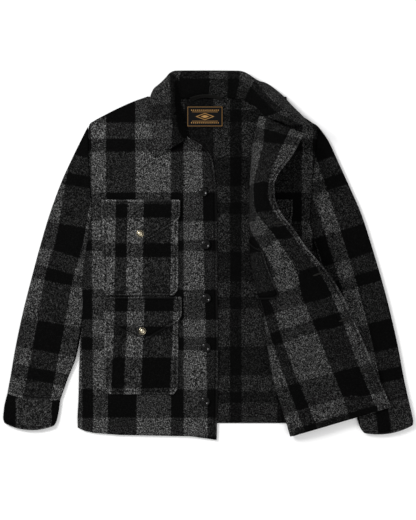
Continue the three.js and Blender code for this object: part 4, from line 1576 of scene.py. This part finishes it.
@dataclass
class Sleeves:
    """Both sleeves with their cuffs.

    Attributes:
        room: The workroom.
        sleeve: A sleeve's outside height, its wall and the number of its rings.
        cuff: A cuff's.
        tuck: How far a sleeve goes into its armhole seam, in millimetres.
        spread: How far apart the bands lie across a sleeve, beside the body's.
    """

    room: Workroom
    sleeve: tuple[float, float, int] = (8.4, CLOTH, 130)
    cuff: tuple[float, float, int] = (9.4, 2.8, 24)
    tuck: float = 2.6
    spread: float = 1.06

    def banded(self, table: Table) -> Height:
        """Gives a sleeve's sett from the middle line of its dark band.

        Args:
            table: Rows of Y, X and the position in the sett along the sleeve.

        Returns:
            A function of X and Y.
        """
        line, rate = table.curve("y", "x"), table.curve("y", "sett")
        outward = math.copysign(self.spread, table["x"][0])

        def sett(x: Array, y: Array) -> Array:
            """Gives the sett position from the distance to the line and the place along it.

            Args:
                x: X in millimetres.
                y: Y in millimetres.

            Returns:
                The two positions in the sett.
            """
            lean = (line(y + 5) - line(y - 5)) / 10
            slant = np.sqrt(1 + lean**2)
            off = (x - line(y)) / slant
            return setts((DARK + LIGHT) / 2 + off * outward, rate(y + off * lean / slant))

        return sett

    @staticmethod
    def cuffed(table: Table, lean: float) -> Height:
        """Gives a cuff's sett, in the weft's dark broad band.

        Args:
            table: Rows of X and the warp's position in the sett.
            lean: The slope by which the warp leans.

        Returns:
            A function of X and Y.
        """

        def sett(x: Array, y: Array) -> Array:
            """Gives the sett position at X and Y."""
            return setts(table.sett(x + lean * (y + 360)), 40.0)

        return sett

    def make(self) -> None:
        """Makes the four tubes."""
        room, banded, cuffed = self.room, self.banded, self.cuffed
        for name, table, size, wrist, finish, seam, sett in (
            ("sleeve_right", SLEEVE_RIGHT, self.sleeve, -1, room.shade, (self.tuck, 5.0), banded(SLEEVE_RIGHT_BAND)),
            ("sleeve_left", SLEEVE_LEFT, self.sleeve, 1, room.shade, (self.tuck, 4.0), banded(SLEEVE_LEFT_BAND)),
            ("cuff_right", CUFF_RIGHT, self.cuff, -1, room.outside, (), cuffed(CUFF_RIGHT_WARP, 0.0)),
            ("cuff_left", CUFF_LEFT, self.cuff, 1, room.shade, (), cuffed(CUFF_LEFT_WARP, 0.12)),
        ):
            height, wall, rings = size
            Tube(room, name, table, height, wall, wrist, rings, finish, *seam).make(sett)


@dataclass
class Trims:
    """The label, the hanger loop and the back hem's turn-up.

    Attributes:
        room: The workroom.
        label: The label's left, right, bottom and top edges, in millimetres.
        hem: The hem's.
        loop: The X of the hanger loop's ends.
        tape_width: The hanger loop's tape, in millimetres.
        tape_lean: The tape's rise over its width, as a sine.
        walls: The label's, the tape's and the hem's wall, in millimetres.
    """

    room: Workroom
    label: tuple[float, float, float, float] = (-48.5, 32.5, 290.0, 337.0)
    hem: tuple[float, float, float, float] = (23, 166, -373, -362)
    loop: tuple[float, float] = (-41.5, 30.5)
    tape_width: float = 10.2
    tape_lean: float = 0.8
    walls: tuple[float, float, float] = (0.9, 1.2, TRIM)

    def make(self) -> None:
        """Makes the three trims."""
        self.make_label()
        self.make_loop()
        self.make_hem()

    def make_label(self) -> None:
        """Makes the label, whose map begins at its middle."""
        left, right, bottom, top = self.label
        points = flat(boxed(*self.label, 41, 25), CLOTH + SEAM + 0.6)
        x, y = points[..., 0], points[..., 1]
        points[..., 2] += 0.25 * np.maximum(wander(x, y, 50, 9), 0)
        sett, wall = setts(x - (left + right) / 2, y - (bottom + top) / 2), self.walls[0]
        cloth = Cloth(points, sett, edge_distance(points))
        look = WovenLabel()
        self.room.sheet(
            "label_woven", "label", cloth, look, Held.LAID, "wool_back", slot=Slot.LABEL, thickness=wall)

    def make_loop(self) -> None:
        """Makes the hanger loop, a tilted tape that bows over the neck."""
        x = np.linspace(*self.loop, 60)[:, None]
        middle = 351 + 7.5 * (1 - ((x + 5.5) / 36) ** 2)
        t = np.linspace(-0.5, 0.5, 8)[None, :] * self.tape_width
        level = math.sqrt(1 - self.tape_lean**2)
        points = np.stack([x + 0 * t, middle + level * t, 11.5 + self.tape_lean * t + 0 * x], -1)
        cloth = Cloth(points, points[..., :2], edge_distance(points))
        tape, wall = Twill("tape_twill", 0.004, 0.0012), self.walls[1]
        self.room.sheet(
            "tape_loop", "hanger_loop", cloth, tape, Held.LAID, "wool_collar", slot=Slot.TAPE, thickness=wall)

    def make_hem(self) -> None:
        """Makes the back's turned-up hem, where it shows."""
        points = flat(boxed(*self.hem, 60, 5), CLOTH + SEAM + TRIM / 2)
        sett = setts(BACK_WARP.sett(points[..., 0]), BACK_WEFT.sett(points[..., 1]))
        cloth, wall = Cloth(points, sett, edge_distance(points)), self.walls[2]
        self.room.sheet("wool_hem_back", "hem_back", cloth, self.room.back, Held.FOLDED, "wool_back", thickness=wall)


@dataclass
class Fastenings:
    """The buttons with their thread, the snaps and the buttonholes.

    Attributes:
        room: The workroom.
        front: The raised front that the buttonholes are in.
        buttons: Each button's X, Y and turn in degrees.
        snaps: Each snap's name and place.
        buttonholes: Each buttonhole's place along the fold.
        hole_circle: A button hole's distance from its middle, in millimetres.
        button_profile: A button's radius and height, from the middle of its back to the middle of its dish.
        bore_profile: A button hole's, which widens at its mouth.
        thread_path: The thread over two holes, as shares of their distance from the middle and heights.
        snap_profile: A snap's, from the middle of its back to its top.
        snap_rise: How far a snap's back lies over the flap, in millimetres.
        segments: How many steps go round a button or a snap.
    """

    room: Workroom
    front: RaisedFront
    buttons: Sequence[tuple[float, float, float]] = (
        (-11.5, 144, 8), (-6, 26, 52), (-4.5, -94.5, 24), (-5.5, -205, 70), (-7.5, -326, 38))
    snaps: Sequence[tuple[str, float, float]] = (("chest", -153, 50), ("hip", -148, -168.5))
    buttonholes: Sequence[float] = (66, -80, -196, -312)
    hole_circle: float = 2.7
    button_profile: Place = (
        (0, 0), (7.8, 0), (9.3, 0.35), (10.1, 1.0), (10.3, 1.7), (10.1, 2.3), (9.0, 2.9), (8.1, 3.38), (7.8, 3.5),
        (7.4, 3.52), (7.0, 3.4), (5.9, 2.82), (4.8, 2.3), (4.4, 2.1), (2.2, 2.0), (0, 2.0))
    bore_profile: Place = ((0, 1.0), (1.15, 1.0), (1.3, 1.9), (1.7, 2.4), (0, 2.4))
    thread_path: Place = ((-1.05, 1.2), (-0.9, 2.1), (-0.5, 2.5), (0, 2.6), (0.5, 2.5), (0.9, 2.1), (1.05, 1.2))
    snap_profile: Place = (
        (0, 0), (7.2, 0), (7.9, 0.3), (8.0, 0.7), (7.8, 1.0), (7.2, 1.15), (6.6, 0.85), (6.3, 0.4), (5.6, 0.35),
        (5.4, 0.9), (5.1, 1.7), (4.4, 2.3), (3.4, 2.75), (2.0, 3.0), (0, 3.05))
    snap_rise: float = 1.2
    segments: int = 56

    def make(self) -> None:
        """Makes them all."""
        resin, brass = Resin(), PaleBrass()
        for number, (x, y, turn) in enumerate(self.buttons, 1):
            self.make_button(number, x, y, turn, resin)
        for name, x, y in self.snaps:
            snap = MeshMaker.turned(f"brass_snap_{name}", self.snap_profile, self.segments)
            under = self.ground_under(x, y, max(self.snap_profile)[0])
            z = under + 2 * (SEAM + CLOTH) + SEAM + self.snap_rise
            snap.data.transform(Matrix.Translation((x * MM, y * MM, z * MM)))
            self.room.dress(snap, brass, Slot.SNAP, f"snap_{name}_right")
        for number, row in enumerate(self.buttonholes, 1):
            self.make_buttonhole(number, row)

    @staticmethod
    def ground_under(x: float, y: float, radius: float) -> float:
        """Finds the right front's greatest height under a disc.

        Args:
            x: The disc's X, in millimetres.
            y: Its Y.
            radius: Its radius.

        Returns:
            The height, in millimetres.
        """
        angle = np.radians(np.arange(0, 360, 30))
        round_x, round_y = np.append(x + radius * np.cos(angle), x), np.append(y + radius * np.sin(angle), y)
        return float(np.max(right_front_top(round_x, round_y)))

    def bored(self, number: int) -> bpy.types.Object:
        """Makes a button's disc on its axis and bores its four holes.

        Args:
            number: The button's number from the top.

        Returns:
            The disc.
        """
        button = MeshMaker.turned(f"resin_button_{number}", self.button_profile, self.segments)
        bores = []
        for quarter in range(4):
            angle = math.radians(45 + 90 * quarter)
            bore = MeshMaker.turned(f"bore_{number}_{quarter}", self.bore_profile, 20)
            reach = self.hole_circle * MM
            bore.location = (reach * math.cos(angle), reach * math.sin(angle), 0)
            cut = button.modifiers.new(bore.name, "BOOLEAN")
            cut.operation, cut.object, cut.solver = "DIFFERENCE", bore, "EXACT"
            bores.append(bore)
        bpy.context.view_layer.update()
        mesh = bpy.data.meshes.new_from_object(button.evaluated_get(bpy.context.evaluated_depsgraph_get()))
        button.modifiers.clear()
        button.data = mesh
        mesh.materials.clear()
        for bore in bores:
            bpy.data.objects.remove(bore)
        return button

    def make_button(self, number: int, x: float, y: float, turn: float, resin: Resin) -> None:
        """Makes one dished button and its crossed thread.

        Args:
            number: Its number from the top.
            x: Its middle's X in millimetres.
            y: Its middle's Y.
            turn: Its turn, in degrees.
            resin: Its finish.
        """
        z = self.ground_under(x, y, max(self.button_profile)[0]) + 2 * SEAM
        button = self.bored(number)
        place = Matrix.Translation((x * MM, y * MM, z * MM)) @ Matrix.Rotation(math.radians(turn), 4, "Z")
        button.data.transform(place)
        self.room.dress(button, resin, Slot.BUTTON, f"button_{number}")
        path = Table("reach rise", self.thread_path)
        reach, rise = path["reach"][:, None] * self.hole_circle, path["rise"][:, None]
        for pair in range(2):
            angle = math.radians(turn + 45 + 90 * pair)
            over = [x + reach * math.cos(angle), y + reach * math.sin(angle), z + rise + 0.15 * pair]
            self.sew(f"thread_button_{number}_{pair}", np.concatenate(over, axis=1), 0.4)

    def sew(self, name: str, path: Array, radius: float) -> None:
        """Makes a thread along a path, both in millimetres."""
        self.room.dress(MeshMaker.strand(name, path, radius), self.room.thread, Slot.TAPE)

    def make_buttonhole(self, number: int, row: float, middle: float = 20.0, length: float = 24.0) -> None:
        """Makes the thread round a buttonhole and a dark strand along its slit, which stands in for the shade in the
        cut.

        Args:
            number: Its number from the top.
            row: Its place along the fold, in millimetres.
            middle: Its middle's distance from the free edge, in millimetres.
            length: Its length, in millimetres.
        """
        angle = np.linspace(0, 2 * np.pi, 40)
        points, normal, _ = self.front.sample(row + 1.5 * np.sin(angle), middle + length / 2 * np.cos(angle))
        self.sew(f"thread_buttonhole_{number}", points - normal * (ON_TOP + 1.8), 0.55)
        # A dark strand of thread colour along the slit is painted shade for the gap of the cut.
        along = np.linspace(middle + length * 0.44, middle - length * 0.44, 30)
        points, normal, _ = self.front.sample(row + 0 * along, along)
        self.sew(f"slit_buttonhole_{number}", points - normal * (ON_TOP + 1.6), 0.7)


@dataclass
class Studio:
    """The floor, the light and the camera.

    Attributes:
        half: Half the floor's side, in metres.
        drop: How far the floor lies under the solids, in metres.
        fill: The strength of the light from all round.
        lamps: Each lamp's place in metres, its side in metres and its power in watts.
        eye: The camera's place, in metres.
        lens: Its focal length and its sensor's width, in millimetres.
        far: How far it sees, in metres.
    """

    half: float = 6.0
    drop: float = 0.0006
    fill: float = 0.6
    lamps: Sequence[tuple[tuple[float, float, float], float, float]] = (
        ((-1.75, 1.2, 1.75), 0.9, 62), ((1.6, -1.7, 2.2), 2.4, 26))
    eye: tuple[float, float, float] = (-0.0011, -0.009, 3.2)
    lens: tuple[float, float] = (98.46, 36)
    far: float = 20

    def make(self) -> None:
        """Sets the studio up."""
        scene = bpy.context.scene
        scene.view_settings.view_transform = "Standard"
        scene.view_settings.look = "None"
        mesh = bpy.data.meshes.new("studio_floor")
        corners = ((-1, -1), (1, -1), (1, 1), (-1, 1))
        mesh.from_pydata([(x * self.half, y * self.half, -self.drop) for x, y in corners], [], [(0, 1, 2, 3)])
        floor = bpy.data.objects.new("studio_floor", mesh)
        mesh.materials.append(StudioFloor().material)
        scene.collection.objects.link(floor)
        scene.world = bpy.data.worlds.new("studio")
        scene.world.use_nodes = True
        background = scene.world.node_tree.nodes["Background"]
        background.inputs[0].default_value = (1, 1, 1, 1)
        background.inputs[1].default_value = self.fill
        for place, side, power in self.lamps:
            self.make_lamp(place, side, power)
        camera = bpy.data.cameras.new("camera")
        camera.lens, camera.sensor_width, camera.clip_end = *self.lens, self.far
        scene.camera = bpy.data.objects.new("camera", camera)
        scene.camera.location = self.eye
        scene.collection.objects.link(scene.camera)

    @staticmethod
    def make_lamp(place: tuple[float, float, float], side: float, power: float) -> None:
        """Adds a square lamp that points at the jacket's middle.

        Args:
            place: Where it stands, in metres.
            side: Its side, in metres.
            power: Its power, in watts.
        """
        data = bpy.data.lights.new("lamp", "AREA")
        data.size, data.energy = side, power
        lamp = bpy.data.objects.new("lamp", data)
        lamp.location = place
        lamp.rotation_euler = (-Vector(place)).to_track_quat("-Z", "Y").to_euler()
        bpy.context.scene.collection.objects.link(lamp)


def right_pockets(room: Workroom) -> list[PatchPocket]:
    """Gives the right front's two pockets with the places of their bands.

    Args:
        room: The workroom.

    Returns:
        The chest pocket and the hip pocket, each with its flap.
    """
    return [PatchPocket(
        room, "chest", (-237.5, -68.5), (124, -88), (-239.5, -64, 90), (-152, 27),
        ((-239.6, 80), (-208, 146.5), (-181, 174.5), (-145, 211.5), (-82, 277), (-64, 296)),
        ((126, 66), (28, 105), (-2.6, 132), (-88, 217)),
        ((128, 98), (117, 105), (85.5, 132), (27, 205)), (0.018, 124)), PatchPocket(
        room, "hip", (-233, -68.5), (-94, -310), (-235, -60.5, -133), (-147.5, -191),
        ((-235, 125), (-219, 146.5), (-190, 174.5), (-152, 211.5), (-86.6, 277), (-60, 300)),
        ((-92, 132), (-180, 132), (-227, 220), (-297, 285), (-312, 300)),
        ((-92, 0), (-124, 65), (-157.5, 105), (-180, 132), (-195, 150)), (0.045, -310))]


def main() -> None:
    """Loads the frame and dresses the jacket."""
    logging.basicConfig(level=logging.INFO, format="%(name)s: %(message)s")
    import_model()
    Studio().make()
    room = Workroom()
    front = RaisedFront(room)
    fastenings = Fastenings(room, front)
    for part in (Body(room), *right_pockets(room), front, Collar(room), Sleeves(room), Trims(room), fastenings):
        part.make()
        LOG.info("%s made", type(part).__name__)
    for name, (width, length, area) in sorted(room.sizes.items()):
        LOG.info("%s cut %.3f by %.3f m, %.4f square metres", name, width, length, area)


if __name__ == "__main__":
    main()
